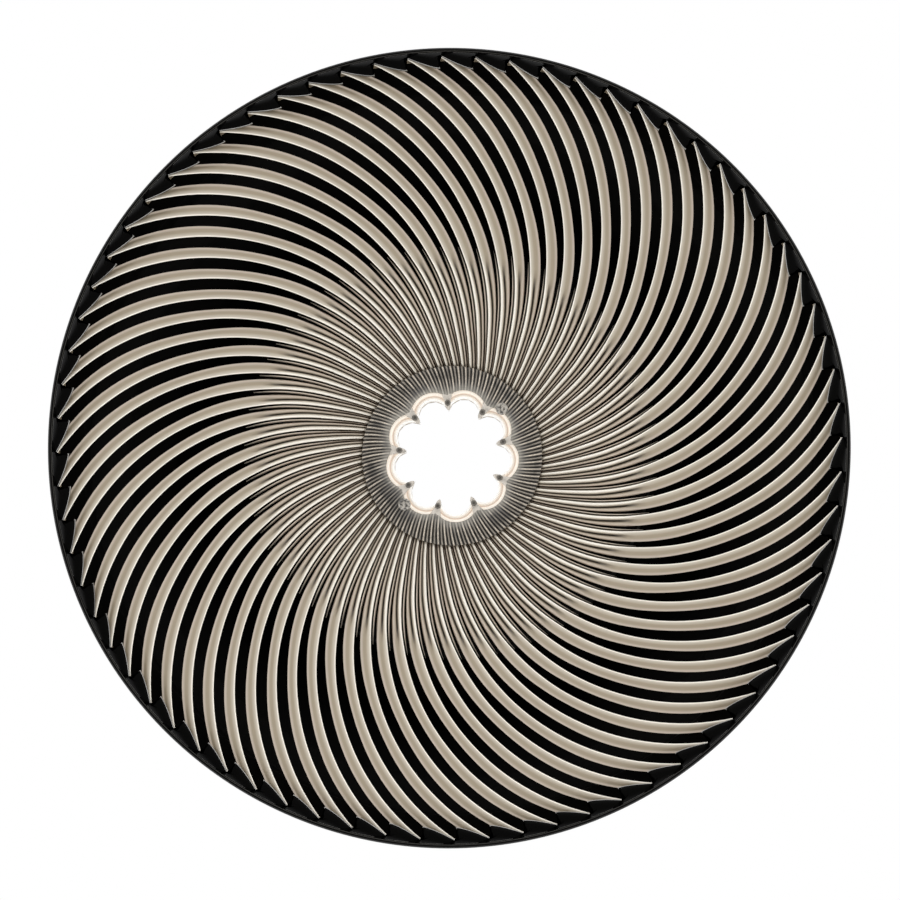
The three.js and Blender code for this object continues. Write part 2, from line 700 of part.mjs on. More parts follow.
function hangerLug() {
  const foot = DUCT_R + NECK_FOOT + LUG_STANDOFF;
  const low = NECK_Z;
  const outline = new THREE.Shape([
    new THREE.Vector2(foot, low),
    new THREE.Vector2(foot + LUG_FOOT, low),
    new THREE.Vector2(foot + LUG_FOOT, low + LUG_SHEET),
    new THREE.Vector2(foot + LUG_SHEET, low + LUG_SHEET),
    new THREE.Vector2(foot + LUG_SHEET, low + LUG_HEIGHT),
    new THREE.Vector2(foot, low + LUG_HEIGHT),
  ]);
  const lug = standing(plate(outline, -LUG_WIDTH / 2, LUG_WIDTH / 2));
  const hole = rod(LUG_HOLE_R, -LUG_SHEET, LUG_SHEET)
    .rotateY(Math.PI / 2)
    .translate(foot + LUG_SHEET / 2, 0, low + LUG_HEIGHT - LUG_HOLE_DROP);
  return cut(lug, [hole]);
}

// ---- assembly ----

function turnedGroup(degrees, radius = 0) {
  const group = new THREE.Group();
  group.rotation.z = radians(degrees);
  group.position.set(radius * Math.cos(radians(degrees)), radius * Math.sin(radians(degrees)), 0);
  diffuser.add(group);
  return group;
}

// One named copy of a geometry at each place round the axis.
function addEach(name, count, geometry, material, radius, firstAngle) {
  for (let i = 0; i < count; i += 1) {
    const group = turnedGroup(firstAngle + 360 * i / count, radius);
    add(`${name}_${i + 1}`, geometry, material, group);
  }
}

add('rim_hoop', rimHoop(), colours.black);
add('face_ring', faceRing(), colours.black);
add('vane_disc', vaneDisc(), colours.champagne);
add('fluted_core', flutedCore(), colours.champagne);
add('smoke_collar', smokeCollar(), colours.smoke);
add('lobed_trim', lobedTrim(), colours.cream);
add('core_clamp', coreClamp(), colours.blackSteel);
addEach('lobe_screw', LOBES, centreScrew(), colours.darkSteel, LOBE_SCREW_CIRCLE, CUSP_TURN);
CENTRE_SCREW_ANGLES.forEach((angle, i) => {
  add(`centre_screw_${i + 1}`, centreScrew(), colours.darkSteel, turnedGroup(angle, CENTRE_SCREW_CIRCLE));
});
add('flange_ring', flangeRing(), colours.blackSteel);
add('rear_hood', rearHood(), colours.blackSteel);
addEach('rim_screw', RIM_SCREWS, rimScrew(), colours.darkSteel, RIM_SCREW_CIRCLE, 0);
add('ceiling_gasket', ceilingGasket(), colours.foam);
add('neck_spigot', neckSpigot(), colours.zinc);
add('neck_seal', neckSeal(), colours.rubber);
add('damper_plate', windowedRing(DAMPER_BORE_R, NECK_BORE_R - GAP, DAMPER_Z), colours.zinc);
add('damper_rotor', windowedRing(DAMPER_BORE_R + ROTOR_SETBACK, ROTOR_R, ROTOR_Z), colours.zinc);
addEach('rotor_keeper', KEEPERS, rotorKeeper(), colours.zinc, 0, KEEPER_TURN);
const leverGroup = turnedGroup(180 / WINDOWS);
add('damper_lever', damperLever(), colours.zinc, leverGroup);
add('lever_grip', leverGrip(), colours.nylon, leverGroup);

for (let i = 0; i < CLIPS; i += 1) {
  const clip = turnedGroup(CLIP_TURN + 360 * i / CLIPS, CLIP_R);
  add(`clip_post_${i + 1}`, clipPost(), colours.zinc, clip);
  add(`clip_bush_${i + 1}`, clipBush(), colours.nylon, clip);
  add(`clip_jaw_${i + 1}`, clipJaw(), colours.darkSteel, clip);
  add(`clip_spring_${i + 1}`, clipSpring(), colours.darkSteel, clip);
  add(`clip_nut_${i + 1}`, clipNut(), colours.zinc, clip);
}
addEach('hanger_lug', LUGS, hangerLug(), colours.zinc, 0, LUG_TURN);

export default diffuser;
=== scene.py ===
# A round ceiling air diffuser, seen from the room below: black rim and saw ring, 72 curved champagne
# vanes over a fluted core, a smoked collar round a nine-lobed open centre, and behind them the black
# hood, the galvanised duct neck with its rotary damper, three sprung turn clips and three hanger lugs.
# Sizes are in millimetres and angles in degrees until a piece is placed; +Z points up into the ceiling.

import math

import bmesh
import bpy
from mathutils import Matrix, Vector


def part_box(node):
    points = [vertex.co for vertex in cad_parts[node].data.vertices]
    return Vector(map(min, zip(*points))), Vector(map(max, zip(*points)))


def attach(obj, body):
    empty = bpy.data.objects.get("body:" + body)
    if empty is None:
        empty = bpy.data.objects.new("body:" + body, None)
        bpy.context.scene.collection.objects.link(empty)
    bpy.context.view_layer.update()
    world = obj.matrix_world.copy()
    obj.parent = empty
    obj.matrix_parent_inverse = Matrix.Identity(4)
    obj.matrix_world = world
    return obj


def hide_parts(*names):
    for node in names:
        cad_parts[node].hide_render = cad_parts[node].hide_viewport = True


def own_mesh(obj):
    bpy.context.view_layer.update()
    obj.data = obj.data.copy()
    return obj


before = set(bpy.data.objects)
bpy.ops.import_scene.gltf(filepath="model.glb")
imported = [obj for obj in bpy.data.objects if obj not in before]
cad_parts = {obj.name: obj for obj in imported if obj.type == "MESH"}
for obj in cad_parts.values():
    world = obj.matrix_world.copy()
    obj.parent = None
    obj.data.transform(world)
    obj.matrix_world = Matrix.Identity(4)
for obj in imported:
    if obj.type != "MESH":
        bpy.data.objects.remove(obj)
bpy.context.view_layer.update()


# ---- studio ----
# The diffuser hangs over a pale floor with white all round it. The camera looks up at it from almost
# straight below. Soft light comes from a wide ring round the camera, with less from the sides and above.

CAMERA_AT = Vector((0.075, 0.209, -2.596))
CAMERA_AIM = Vector((0.0015, 0.0042, 0.0))
LENS = 139.6
FLOOR_Z = -4.2
RING_LIGHT = 2.1

back = (CAMERA_AT - CAMERA_AIM).normalized()
right = Vector((0, -1, 0)).cross(back).normalized()
turn = Matrix((right, back.cross(right), back)).transposed().to_4x4()
camera = bpy.data.objects.new("camera", bpy.data.cameras.new("camera"))
camera.data.lens = LENS
camera.data.sensor_width = 36.0
camera.data.clip_end = 50.0
camera.matrix_world = Matrix.Translation(CAMERA_AT) @ turn
bpy.context.scene.collection.objects.link(camera)
bpy.context.scene.camera = camera
bpy.context.scene.view_settings.view_transform = "Standard"


class Channel:
    """A value inside a set of shader nodes. Sums on it become Math nodes."""

    def __init__(self, bench, socket):
        self.bench = bench
        self.socket = socket

    def math(self, operation, *values):
        inputs = dict(enumerate(values))
        return self.bench.add("Math", {"operation": operation}, inputs)

    def __add__(self, other):
        return self.math("ADD", self, other)

    def __sub__(self, other):
        return self.math("SUBTRACT", self, other)

    def __rsub__(self, other):
        return self.math("SUBTRACT", other, self)

    def __mul__(self, other):
        return self.math("MULTIPLY", self, other)

    def __truediv__(self, other):
        return self.math("DIVIDE", self, other)

    def __pow__(self, other):
        return self.math("POWER", self, other)

    __radd__ = __add__
    __rmul__ = __mul__

    def step(self, low, high):
        """0 below low and 1 above high, smooth between them; reversed if low is the larger."""
        settings = {"interpolation_type": "SMOOTHSTEP"}
        if low <= high:
            return self.bench.add("MapRange", settings, {0: self, 1: low, 2: high, 3: 0.0, 4: 1.0})
        return self.bench.add("MapRange", settings, {0: self, 1: high, 2: low, 3: 1.0, 4: 0.0})


class Bench:
    """The nodes of one finish, or of the studio's surroundings."""

    def __init__(self, tree):
        self.tree = tree
        self.tree.nodes.clear()

    def add(self, kind, settings=None, inputs=None, output=0):
        node = self.tree.nodes.new("ShaderNode" + kind)
        for name, value in (settings or {}).items():
            if name == "stops":
                elements = node.color_ramp.elements
                elements[0].position, elements[1].position = value[0][0], value[-1][0]
                for place, _ in value[1:-1]:
                    elements.new(place)
                for element, (_, colour) in zip(elements, value):
                    element.color = (*colour, 1)
            else:
                setattr(node, name, value)
        for name, value in (inputs or {}).items():
            if isinstance(value, Channel):
                self.tree.links.new(value.socket, node.inputs[name])
            else:
                node.inputs[name].default_value = value
        return Channel(self, node.outputs[output]) if node.outputs else None

    def place(self):
        return self.add("TexCoord", output=3)

    def blend(self, share, first, second):
        """A colour between two colours."""
        first = first if isinstance(first, Channel) else (*first, 1)
        second = second if isinstance(second, Channel) else (*second, 1)
        return self.add("Mix", {"data_type": "RGBA"}, {0: share, 6: first, 7: second}, output=2)

    def noise(self, scale, detail=3.0, where=None):
        where = where or self.place()
        return self.add("TexNoise", inputs={"Vector": where, "Scale": scale, "Detail": detail})

    def polar(self):
        """Distance from the diffuser's axis in millimetres, and the turn round it in radians."""
        split = self.add("SeparateXYZ", inputs={0: self.place()})
        x, y = split, Channel(self, split.socket.node.outputs[1])
        return ((x * x + y * y) ** 0.5) * 1000.0, x.math("ARCTAN2", y, x)


surroundings = bpy.data.worlds.new("white_studio")
surroundings.use_nodes = True
bpy.context.scene.world = surroundings
studio = Bench(surroundings.node_tree)
direction = studio.add("SeparateXYZ", inputs={0: studio.add("TexCoord")}, output=2)
ring = studio.add("ValToRGB", {"stops": (
    (0.0, (0.03, 0.03, 0.03)),
    (0.02, (0.03, 0.03, 0.03)),
    (0.07, (0.42, 0.42, 0.42)),
    (0.18, (0.62, 0.62, 0.62)),
    (0.27, (1.0, 1.0, 1.0)),
    (0.50, (1.0, 1.0, 1.0)),
    (0.62, (0.45, 0.45, 0.45)),
    (1.0, (0.35, 0.35, 0.35)),
)}, {0: direction * 0.5 + 0.5})
soft = studio.add("Background", inputs={"Color": ring, "Strength": RING_LIGHT})
white = studio.add("Background", inputs={"Color": (1, 1, 1, 1), "Strength": 1.0})
seen = studio.add("LightPath")
studio.add("OutputWorld", inputs={0: studio.add("MixShader", inputs={0: seen, 1: soft, 2: white})})

floor_shape = bmesh.new()
bmesh.ops.create_grid(floor_shape, x_segments=8, y_segments=8, size=9.0)
bmesh.ops.translate(floor_shape, verts=floor_shape.verts, vec=(0, 0, FLOOR_Z))
floor_mesh = bpy.data.meshes.new("floor")
floor_shape.to_mesh(floor_mesh)
floor_shape.free()
floor = bpy.data.objects.new("floor", floor_mesh)
bpy.context.scene.collection.objects.link(floor)
floor.visible_glossy = False
floor.visible_diffuse = False

pale = bpy.data.materials.new("pale_floor")
pale.use_nodes = True
bench = Bench(pale.node_tree)
speckle = bench.noise(6.0)
surface = bench.add("BsdfPrincipled", inputs={
    "Base Color": bench.blend(speckle, (0.86, 0.86, 0.85), (0.90, 0.90, 0.89)),
    "Roughness": 0.8,
})
bench.add("OutputMaterial", inputs={0: surface})
floor_mesh.materials.append(pale)


# ---- rim ----
# A hoop of pressed steel with a rounded bead on its lowest edge, stoved in gloss black. The face ring
# is pushed up into the rebate inside the bead. A painted highlight runs round the bead's inner corner,
# and painted glints lie on the bevelled lower edges of the saw ring.

MM = 0.001
CORNER_HIGHLIGHT_WIDTH = 0.45
CLEARANCE = 0.3
RIM_STEPS = 288


def extent(node):
    """Lowest and highest corner of a CAD node, in millimetres."""
    low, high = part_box(node)
    return low / MM, high / MM


def spun(profile, steps=180, into=None):
    """A closed outline of (radius, height) pairs, turned once round the axis."""
    shape = into or bmesh.new()
    corners = [shape.verts.new((r, 0, z)) for r, z in profile]
    edges = [shape.edges.new(pair) for pair in zip(corners, corners[1:])]
    if profile[0][0] > 0:
        edges.append(shape.edges.new((corners[-1], corners[0])))
    bmesh.ops.spin(shape, geom=corners + edges, axis=(0, 0, 1), cent=(0, 0, 0),
                   angle=2 * math.pi, steps=steps, use_merge=True, use_duplicate=False)
    return shape


def tidied(shape):
    """Welds what meets and turns every face outwards."""
    bmesh.ops.remove_doubles(shape, verts=shape.verts, dist=0.001)
    bmesh.ops.recalc_face_normals(shape, faces=shape.faces)
    return shape


def soften(shape, width, segments=2, least=30):
    """Rounds the edges where faces meet at more than a few degrees."""
    sharp = [e for e in shape.edges if e.is_manifold and e.calc_face_angle() > math.radians(least)]
    bmesh.ops.bevel(shape, geom=sharp, offset=width, offset_type="OFFSET", segments=segments,
                    profile=0.5, affect="EDGES", clamp_overlap=True, material=-1)


def placed(name, shape, finish, smooth=35):
    """Makes a piece of a shape drawn in millimetres."""
    bmesh.ops.scale(shape, verts=shape.verts, vec=(MM, MM, MM))
    mesh = bpy.data.meshes.new(name)
    shape.to_mesh(mesh)
    shape.free()
    mesh.shade_smooth()
    mesh.set_sharp_from_angle(angle=math.radians(smooth))
    mesh.materials.append(finish)
    piece = bpy.data.objects.new(name, mesh)
    bpy.context.scene.collection.objects.link(piece)
    return piece


def finish_named(name):
    finish = bpy.data.materials.new(name)
    finish.use_nodes = True
    return finish, Bench(finish.node_tree)


rim_low, rim_high = extent("rim_hoop")
vane_low, vane_high = extent("vane_disc")
face_low, face_high = extent("face_ring")
RIM_R = rim_high.x
RIM_BORE_R = vane_high.x + CLEARANCE
REBATE_R = face_high.x + CLEARANCE

rim_shape = tidied(spun([
    (REBATE_R, 0.45),
    (REBATE_R + 0.15, 0.15),
    (REBATE_R + 0.5, 0.0),
    (RIM_R - 1.3, 0.0),
    (RIM_R - 0.6, 0.18),
    (RIM_R - 0.18, 0.6),
    (RIM_R, 1.3),
    (RIM_R, 7.0),
    (RIM_R - 0.5, 7.6),
    (RIM_R - 0.5, 8.6),
    (RIM_R, 9.2),
    (RIM_R, rim_high.z - 0.5),
    (RIM_R - 0.5, rim_high.z),
    (RIM_BORE_R, rim_high.z),
    (RIM_BORE_R, vane_low.z),
    (REBATE_R, vane_low.z),
], RIM_STEPS))

black_lacquer, bench = finish_named("black_lacquer")
radius, bearing = bench.polar()
cloud = bench.noise(9.0, 4.0)
peel = bench.noise(900.0, 2.0)
# A thin band round the bead's inner corner is painted lighter and mottled by the cloud: a painted
# highlight.
painted_corner_highlight = radius.step(REBATE_R - 0.05, REBATE_R + 0.02) * radius.step(REBATE_R + CORNER_HIGHLIGHT_WIDTH, REBATE_R + 0.2)
outer = radius.step(REBATE_R + 0.2, REBATE_R + 0.8)
body_colour = bench.blend(outer, (0.0025, 0.0024, 0.002), (0.004, 0.0038, 0.003))
# Bevel faces inside the rebate, picked by their tilt, are painted light grey: painted glints on the saw
# ring's edges.
facing = bench.add("SeparateXYZ", inputs={0: bench.add("NewGeometry", output=3)}, output=2)
painted_edge_glints = facing.step(-0.985, -0.95) * facing.step(-0.15, -0.3) * radius.step(REBATE_R, REBATE_R - 1.0)
body_colour = bench.blend(painted_edge_glints * cloud.step(0.25, 0.5), body_colour, (0.42, 0.41, 0.39))
surface = bench.add("BsdfPrincipled", inputs={
    "Base Color": bench.blend(painted_corner_highlight * (0.15 + cloud * 0.3), body_colour, (0.16, 0.15, 0.13)),
    "Roughness": 0.14 + cloud * 0.08,
    "Specular IOR Level": 0.4,
    "Normal": bench.add("Bump", inputs={"Strength": 0.03, "Distance": 0.0002, "Height": peel}),
})
bench.add("OutputMaterial", inputs={0: surface})

rim = placed("rim_shell", rim_shape, black_lacquer)
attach(rim, "root")
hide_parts("rim_hoop")


# ---- face ring ----
# A flat black ring, moulded with a saw of 72 teeth along its inner edge. Each slot between two vanes
# ends in a rounded corner under a tooth, and the tooth's long flank runs back over the next vane.

VANES = 72
PITCH = 360 / VANES
FOOT_R = 284.4
TIP_R = 294.0
TIP_ANGLE = -1.1
SLOT_END = ((-0.10, 0.0), (-0.27, 2.7), (-0.43, 5.3), (-0.54, 7.1), (-0.55, 8.2), (-0.46, 9.1),
            (-0.26, 9.6))
FLANK_STEPS = 7
FLANK_BEND = 1.45
SAW_ROUND = 0.35


def polar_point(r, angle, z):
    return Vector((r * math.cos(math.radians(angle)), r * math.sin(math.radians(angle)), z))


def repeated(shape, count):
    """Copies the shape so far round the axis until there are count of it."""
    bmesh.ops.spin(shape, geom=shape.verts[:] + shape.edges[:] + shape.faces[:], axis=(0, 0, 1),
                   cent=(0, 0, 0), angle=2 * math.pi * (count - 1) / count, steps=count - 1,
                   use_duplicate=True)
    bmesh.ops.remove_doubles(shape, verts=shape.verts, dist=0.001)
    return shape


def chain(shape, points):
    """Edges from point to point."""
    corners = [shape.verts.new(p) for p in points]
    return [shape.edges.new(pair) for pair in zip(corners, corners[1:])]


def thicken(shape, height):
    """Raises a flat sheet of faces into a plate."""
    sheet = bmesh.ops.extrude_face_region(shape, geom=shape.faces[:], use_keep_orig=True)
    raised = [v for v in sheet["geom"] if isinstance(v, bmesh.types.BMVert)]
    bmesh.ops.translate(shape, verts=raised, vec=(0, 0, height))
    return tidied(shape)


saw_shape = bmesh.new()
slot_end = [(TIP_ANGLE + a, FOOT_R + rise) for a, rise in SLOT_END]
flank = []
for i in range(FLANK_STEPS + 1):
    back_share = 1 - i / FLANK_STEPS
    angle = TIP_ANGLE + (PITCH + SLOT_END[0][0]) * i / FLANK_STEPS
    flank.append((angle, FOOT_R + (TIP_R - FOOT_R) * back_share ** FLANK_BEND))
inner_line = [polar_point(r, angle, face_low.z) for angle, r in slot_end + flank]
first_angle, last_angle = slot_end[0][0], flank[-1][0]
outer_line = []
for i in range(len(inner_line)):
    angle = first_angle + (last_angle - first_angle) * i / (len(inner_line) - 1)
    outer_line.append(polar_point(face_high.x, angle, face_low.z))
edges = chain(saw_shape, inner_line) + chain(saw_shape, outer_line)
bmesh.ops.bridge_loops(saw_shape, edges=edges)
repeated(saw_shape, VANES)
thicken(saw_shape, face_high.z - face_low.z)
lower_edges = []
for edge in saw_shape.edges:
    middle = (edge.verts[0].co + edge.verts[1].co) / 2
    if edge.calc_face_angle(0) > 1 and middle.z < face_low.z + 0.1:
        lower_edges.append(edge)
bmesh.ops.bevel(saw_shape, geom=lower_edges, offset=SAW_ROUND, offset_type="OFFSET", segments=2,
                profile=0.5, affect="EDGES", clamp_overlap=False, material=-1)

saw = placed("saw_ring", saw_shape, black_lacquer, smooth=50)
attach(saw, "root")
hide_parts("face_ring")


# ---- vanes ----
# One moulding in satin champagne: 72 vanes that follow circular arcs down a 25 degree cone. Each has a
# rounded nose towards the room, a hollow face and a thin tail; a painted highlight runs along the nose
# and a fainter one along the tail. Over the core the face parts into a nose ridge and a tail ridge with
# a groove between them, painted dark as shade.

CONE_SLOPE = math.tan(math.radians(25))
HUB_R = 62.0
HUB_OUTER_R = 69.0
CORE_R = 149.0
RISE = 8.0
RISE_INNER = 3.0
ARC_R = 166.5
ARC_CENTRE_R = 177.0
ARC_TURN = -30.5
CURL_R = 110.7
CURL = 19.9
GROOVE_FROM, GROOVE_FULL = 154.0, 140.0
STATIONS = 46
VANE_INNER_R = 65.5
NOSE_SIDE = ((66, 1.0), (93, 0.9), (108, 0.75), (124, 0.9), (154, 1.08), (170, 1.12), (196, 1.12),
             (226, 1.2), (262, 1.12), (285, 0.95), (296, 0.8))
TAIL_SIDE = ((66, 2.35), (108, 2.4), (139, 2.3), (154, 2.2), (169, 2.05), (183, 1.8), (196, 1.48),
             (212, 1.25), (228, 1.22), (241, 1.35), (256, 1.5), (271, 1.55), (285, 1.42), (296, 1.35))
OUTER_SECTION = ((0.12, 0.27), (0.04, 0.15), (0.0, 0.08), (0.008, 0.03), (0.03, 0.006), (0.06, 0.0),
                 (0.12, 0.008), (0.24, 0.035), (0.36, 0.085), (0.48, 0.15), (0.59, 0.225), (0.69, 0.30),
                 (0.78, 0.36), (0.87, 0.40), (0.95, 0.425), (1.0, 0.45), (0.99, 0.57), (0.55, 0.42))
INNER_SECTION = ((0.13, 0.45), (0.04, 0.28), (0.0, 0.14), (0.03, 0.05), (0.09, 0.01), (0.16, 0.0),
                 (0.23, 0.02), (0.31, 0.08), (0.38, 0.22), (0.43, 0.46), (0.49, 0.46), (0.57, 0.34),
                 (0.68, 0.29), (0.80, 0.28), (0.90, 0.34), (1.0, 0.50), (1.0, 0.75), (0.5, 0.80))
# Section points that carry painted shade in the groove, and painted highlights along the tail and the
# nose.
GROOVE_SHADE_POINTS = {8: 0.45, 9: 1.0, 10: 1.0, 11: 0.35}
TAIL_HIGHLIGHT_POINTS = {12: 0.4, 13: 0.9, 14: 1.0, 15: 0.9}
NOSE_HIGHLIGHT_POINTS = {3: 1.0, 4: 1.0, 5: 1.0, 6: 0.5, 7: 0.28, 8: 0.14}


def between(value, points):
    """Reads a value off a line drawn through a few (place, height) points."""
    for (x0, y0), (x1, y1) in zip(points, points[1:]):
        if value <= x1:
            share = max(0.0, (value - x0) / (x1 - x0))
            return y0 + (y1 - y0) * share
    return points[-1][1]


def eased(value, low, high):
    share = min(1.0, max(0.0, (value - low) / (high - low)))
    return share * share * (3 - 2 * share)


def nose_height(r):
    return vane_low.z + (RIM_BORE_R - r) * CONE_SLOPE


def vane_rise(r):
    share = min(1.0, max(0.0, (r - HUB_R) / (CORE_R - HUB_R)))
    return RISE_INNER + (RISE - RISE_INNER) * share


def vane_bearing(r):
    """Direction of a vane's arc, in degrees, where it crosses a circle round the axis."""
    cosine = (r * r + ARC_CENTRE_R ** 2 - ARC_R ** 2) / (2 * r * ARC_CENTRE_R)
    curl = CURL * max(0.0, 1 - r / CURL_R) ** 2
    return math.degrees(math.acos(cosine)) + ARC_TURN + curl


def swept(shape, stations, section_size, place, caps=True):
    """A closed bar, warped from a flat grid: place gives the point at a share of the length and a
    number in the section."""
    before = {e for e in shape.edges if e.is_boundary}
    made = bmesh.ops.create_grid(shape, x_segments=stations, y_segments=section_size, size=0.5)
    for vert in made["verts"]:
        number = round((vert.co.y + 0.5) * section_size) % section_size
        vert.co = place(vert, vert.co.x + 0.5, number)
    bmesh.ops.remove_doubles(shape, verts=made["verts"], dist=0.0005)
    if caps:
        ends = [e for e in shape.edges if e.is_boundary and e not in before]
        bmesh.ops.holes_fill(shape, edges=ends, sides=0)
    return shape


vane_shape = bmesh.new()
groove_shade_layer = vane_shape.verts.layers.float.new("groove")
tail_highlight_layer = vane_shape.verts.layers.float.new("tail_band")
nose_highlight_layer = vane_shape.verts.layers.float.new("nose_band")
vane_outer_r = vane_high.x - 0.8


def vane_point(vert, along, number):
    r = VANE_INNER_R + (vane_outer_r - VANE_INNER_R) * along
    inward = 1 - eased(r, GROOVE_FULL, GROOVE_FROM)
    outer_share, outer_height = OUTER_SECTION[number]
    inner_share, inner_height = INNER_SECTION[number]
    across = outer_share + (inner_share - outer_share) * inward
    across += 0.15 * (1 - eased(r, 104, 145)) * 4 * across * (1 - across)
    height = outer_height + (inner_height - outer_height) * inward
    # Marks for the painted shade in the groove and the painted highlights on the tail and the nose.
    vert[groove_shade_layer] = inward * GROOVE_SHADE_POINTS.get(number, 0.0)
    vert[tail_highlight_layer] = TAIL_HIGHLIGHT_POINTS.get(number, 0.0)
    vert[nose_highlight_layer] = NOSE_HIGHLIGHT_POINTS.get(number, 0.0)
    nose, tail = -between(r, NOSE_SIDE), between(r, TAIL_SIDE)
    return polar_point(r, vane_bearing(r) + nose + (tail - nose) * across,
                       nose_height(r) + height * vane_rise(r))


swept(vane_shape, STATIONS, len(OUTER_SECTION), vane_point)
repeated(vane_shape, VANES)
spun([(vane_high.x - 1.6, vane_low.z + 0.2), (vane_high.x, vane_low.z + 0.2),
      (vane_high.x, rim_high.z), (vane_high.x - 1.6, rim_high.z)], RIM_STEPS, into=vane_shape)
spun([(HUB_R, vane_high.z - 8), (HUB_OUTER_R, vane_high.z - 8), (HUB_OUTER_R, vane_high.z),
      (HUB_R, vane_high.z)], 144, into=vane_shape)
tidied(vane_shape)

champagne, bench = finish_named("champagne_satin_lacquer")
radius, bearing = bench.polar()
groove = bench.add("Attribute", {"attribute_name": "groove"}, output=2)
tail_band = bench.add("Attribute", {"attribute_name": "tail_band"}, output=2)
nose_band = bench.add("Attribute", {"attribute_name": "nose_band"}, output=2)
cloud = bench.noise(14.0, 4.0)
grain = bench.noise(1600.0, 2.0)
face = bench.blend(cloud, (0.36, 0.295, 0.205), (0.40, 0.33, 0.235))
# The tail edge is painted lighter: a painted highlight.
face = bench.blend(tail_band, face, (0.60, 0.51, 0.42))
# The nose edge is painted near-white, less so at the inner end: a painted highlight.
face = bench.blend(nose_band * (0.6 + 0.4 * radius.step(66.0, 84.0)), face, (1.0, 0.95, 0.85))
# The groove between the ridges is painted near-black: painted shade.
face = bench.blend(groove, face, (0.012, 0.006, 0.003))
surface = bench.add("BsdfPrincipled", inputs={
    "Base Color": face,
    "Metallic": 0.15 - groove * 0.15,
    "Roughness": 0.3 + cloud * 0.06,
    "Specular IOR Level": 0.5,
    "Normal": bench.add("Bump", inputs={"Strength": 0.05, "Distance": 0.0001, "Height": grain}),
})
bench.add("OutputMaterial", inputs={0: surface})

vanes = placed("swirl_vanes", vane_shape, champagne, smooth=60)
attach(vanes, "root")
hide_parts("vane_disc")


# ---- fluted core ----
# A bronzed cone behind the inner half of the vanes, painted near-black as shade out where it lies deep
# behind them. A slim champagne flute stands on it in every gap, starting as a needle point and growing
# wider towards the centre.

core_low, core_high = extent("fluted_core")
CORE_WALL = 3.0
FLUTE_BEARING = -1.6
FLUTE_OUTER_R = 159.0
FLUTE_INNER_R = 66.5
FLUTE_STATIONS = 26
FLUTE_HALF = ((66, 0.5), (93, 0.48), (110, 0.44), (128, 0.37), (142, 0.29), (152, 0.17), (159, 0.02))
FLUTE_SECTION = ((-1.0, 1.0), (-0.9, 0.45), (-0.6, 0.12), (-0.2, 0.0), (0.2, 0.0), (0.6, 0.12),
                 (0.9, 0.45), (1.0, 1.0))


def core_front(r):
    return nose_height(r) + vane_rise(r) + 2.2


core_shape = tidied(spun([
    (core_low.x * -1 - 0.5, core_front(core_high.x) + 0.4),
    (core_high.x, core_front(core_high.x) + 1.0),
    (core_high.x, core_front(core_high.x) + CORE_WALL - 0.4),
    (HUB_OUTER_R + 2, core_high.z),
    (54.0, core_high.z),
    (54.0, core_high.z - CORE_WALL),
    (HUB_OUTER_R + CLEARANCE, core_high.z - CORE_WALL),
]))

bronze, bench = finish_named("dark_bronze_lacquer")
radius, bearing = bench.polar()
cloud = bench.noise(20.0, 4.0)
# Near-black beyond about 125 mm and bronze towards the centre: painted shade where the cone lies deep
# behind the vanes.
surface = bench.add("BsdfPrincipled", inputs={
    "Base Color": bench.blend(radius.step(125.0, 85.0) * (0.5 + cloud * 0.5),
                              (0.003, 0.002, 0.0015), (0.16, 0.12, 0.085)),
    "Roughness": 0.6 + cloud * 0.12,
    "Specular IOR Level": 0.1,
})
bench.add("OutputMaterial", inputs={0: surface})

core = placed("core_cone", core_shape, bronze)
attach(core, "root")
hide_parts("fluted_core")

flute_shape = bmesh.new()


def flute_point(vert, along, number):
    r = FLUTE_INNER_R + (FLUTE_OUTER_R - FLUTE_INNER_R) * along
    side, drop = FLUTE_SECTION[number]
    start = eased(r, FLUTE_OUTER_R - 26, FLUTE_OUTER_R)
    crest = 0.2 * vane_rise(r) + 4.0 * start + 1.2 * (1 - eased(r, 82, 104))
    height = crest + (vane_rise(r) + 2.6 - crest) * drop
    angle = vane_bearing(r) + FLUTE_BEARING + side * between(r, FLUTE_HALF)
    return polar_point(r, angle, nose_height(r) + height)


swept(flute_shape, FLUTE_STATIONS, len(FLUTE_SECTION), flute_point)
repeated(flute_shape, VANES)
tidied(flute_shape)

flute_lacquer, bench = finish_named("flute_lacquer")
radius, bearing = bench.polar()
cloud = bench.noise(18.0, 4.0)
flute_face = bench.blend(cloud, (0.66, 0.57, 0.47), (0.74, 0.65, 0.54))
surface = bench.add("BsdfPrincipled", inputs={
    "Base Color": bench.blend(radius.step(112.0, 84.0), flute_face, (0.30, 0.24, 0.18)),
    "Metallic": 0.25,
    "Roughness": 0.38 + cloud * 0.08,
})
bench.add("OutputMaterial", inputs={0: surface})

flutes = placed("core_flutes", flute_shape, flute_lacquer, smooth=70)
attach(flutes, "root")
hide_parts("fluted_core")


# ---- smoked collar ----
# A smoked ring that covers the inner ends of the vanes and carries their ribs on to the lobed edge of
# the opening, where they fade out. The rib crests are painted cream as lit ribs and the valleys black
# as shade; towards the opening both turn grey as painted backlight through the smoke. Nine fingers run
# in between the lobes to the screws that hold it.

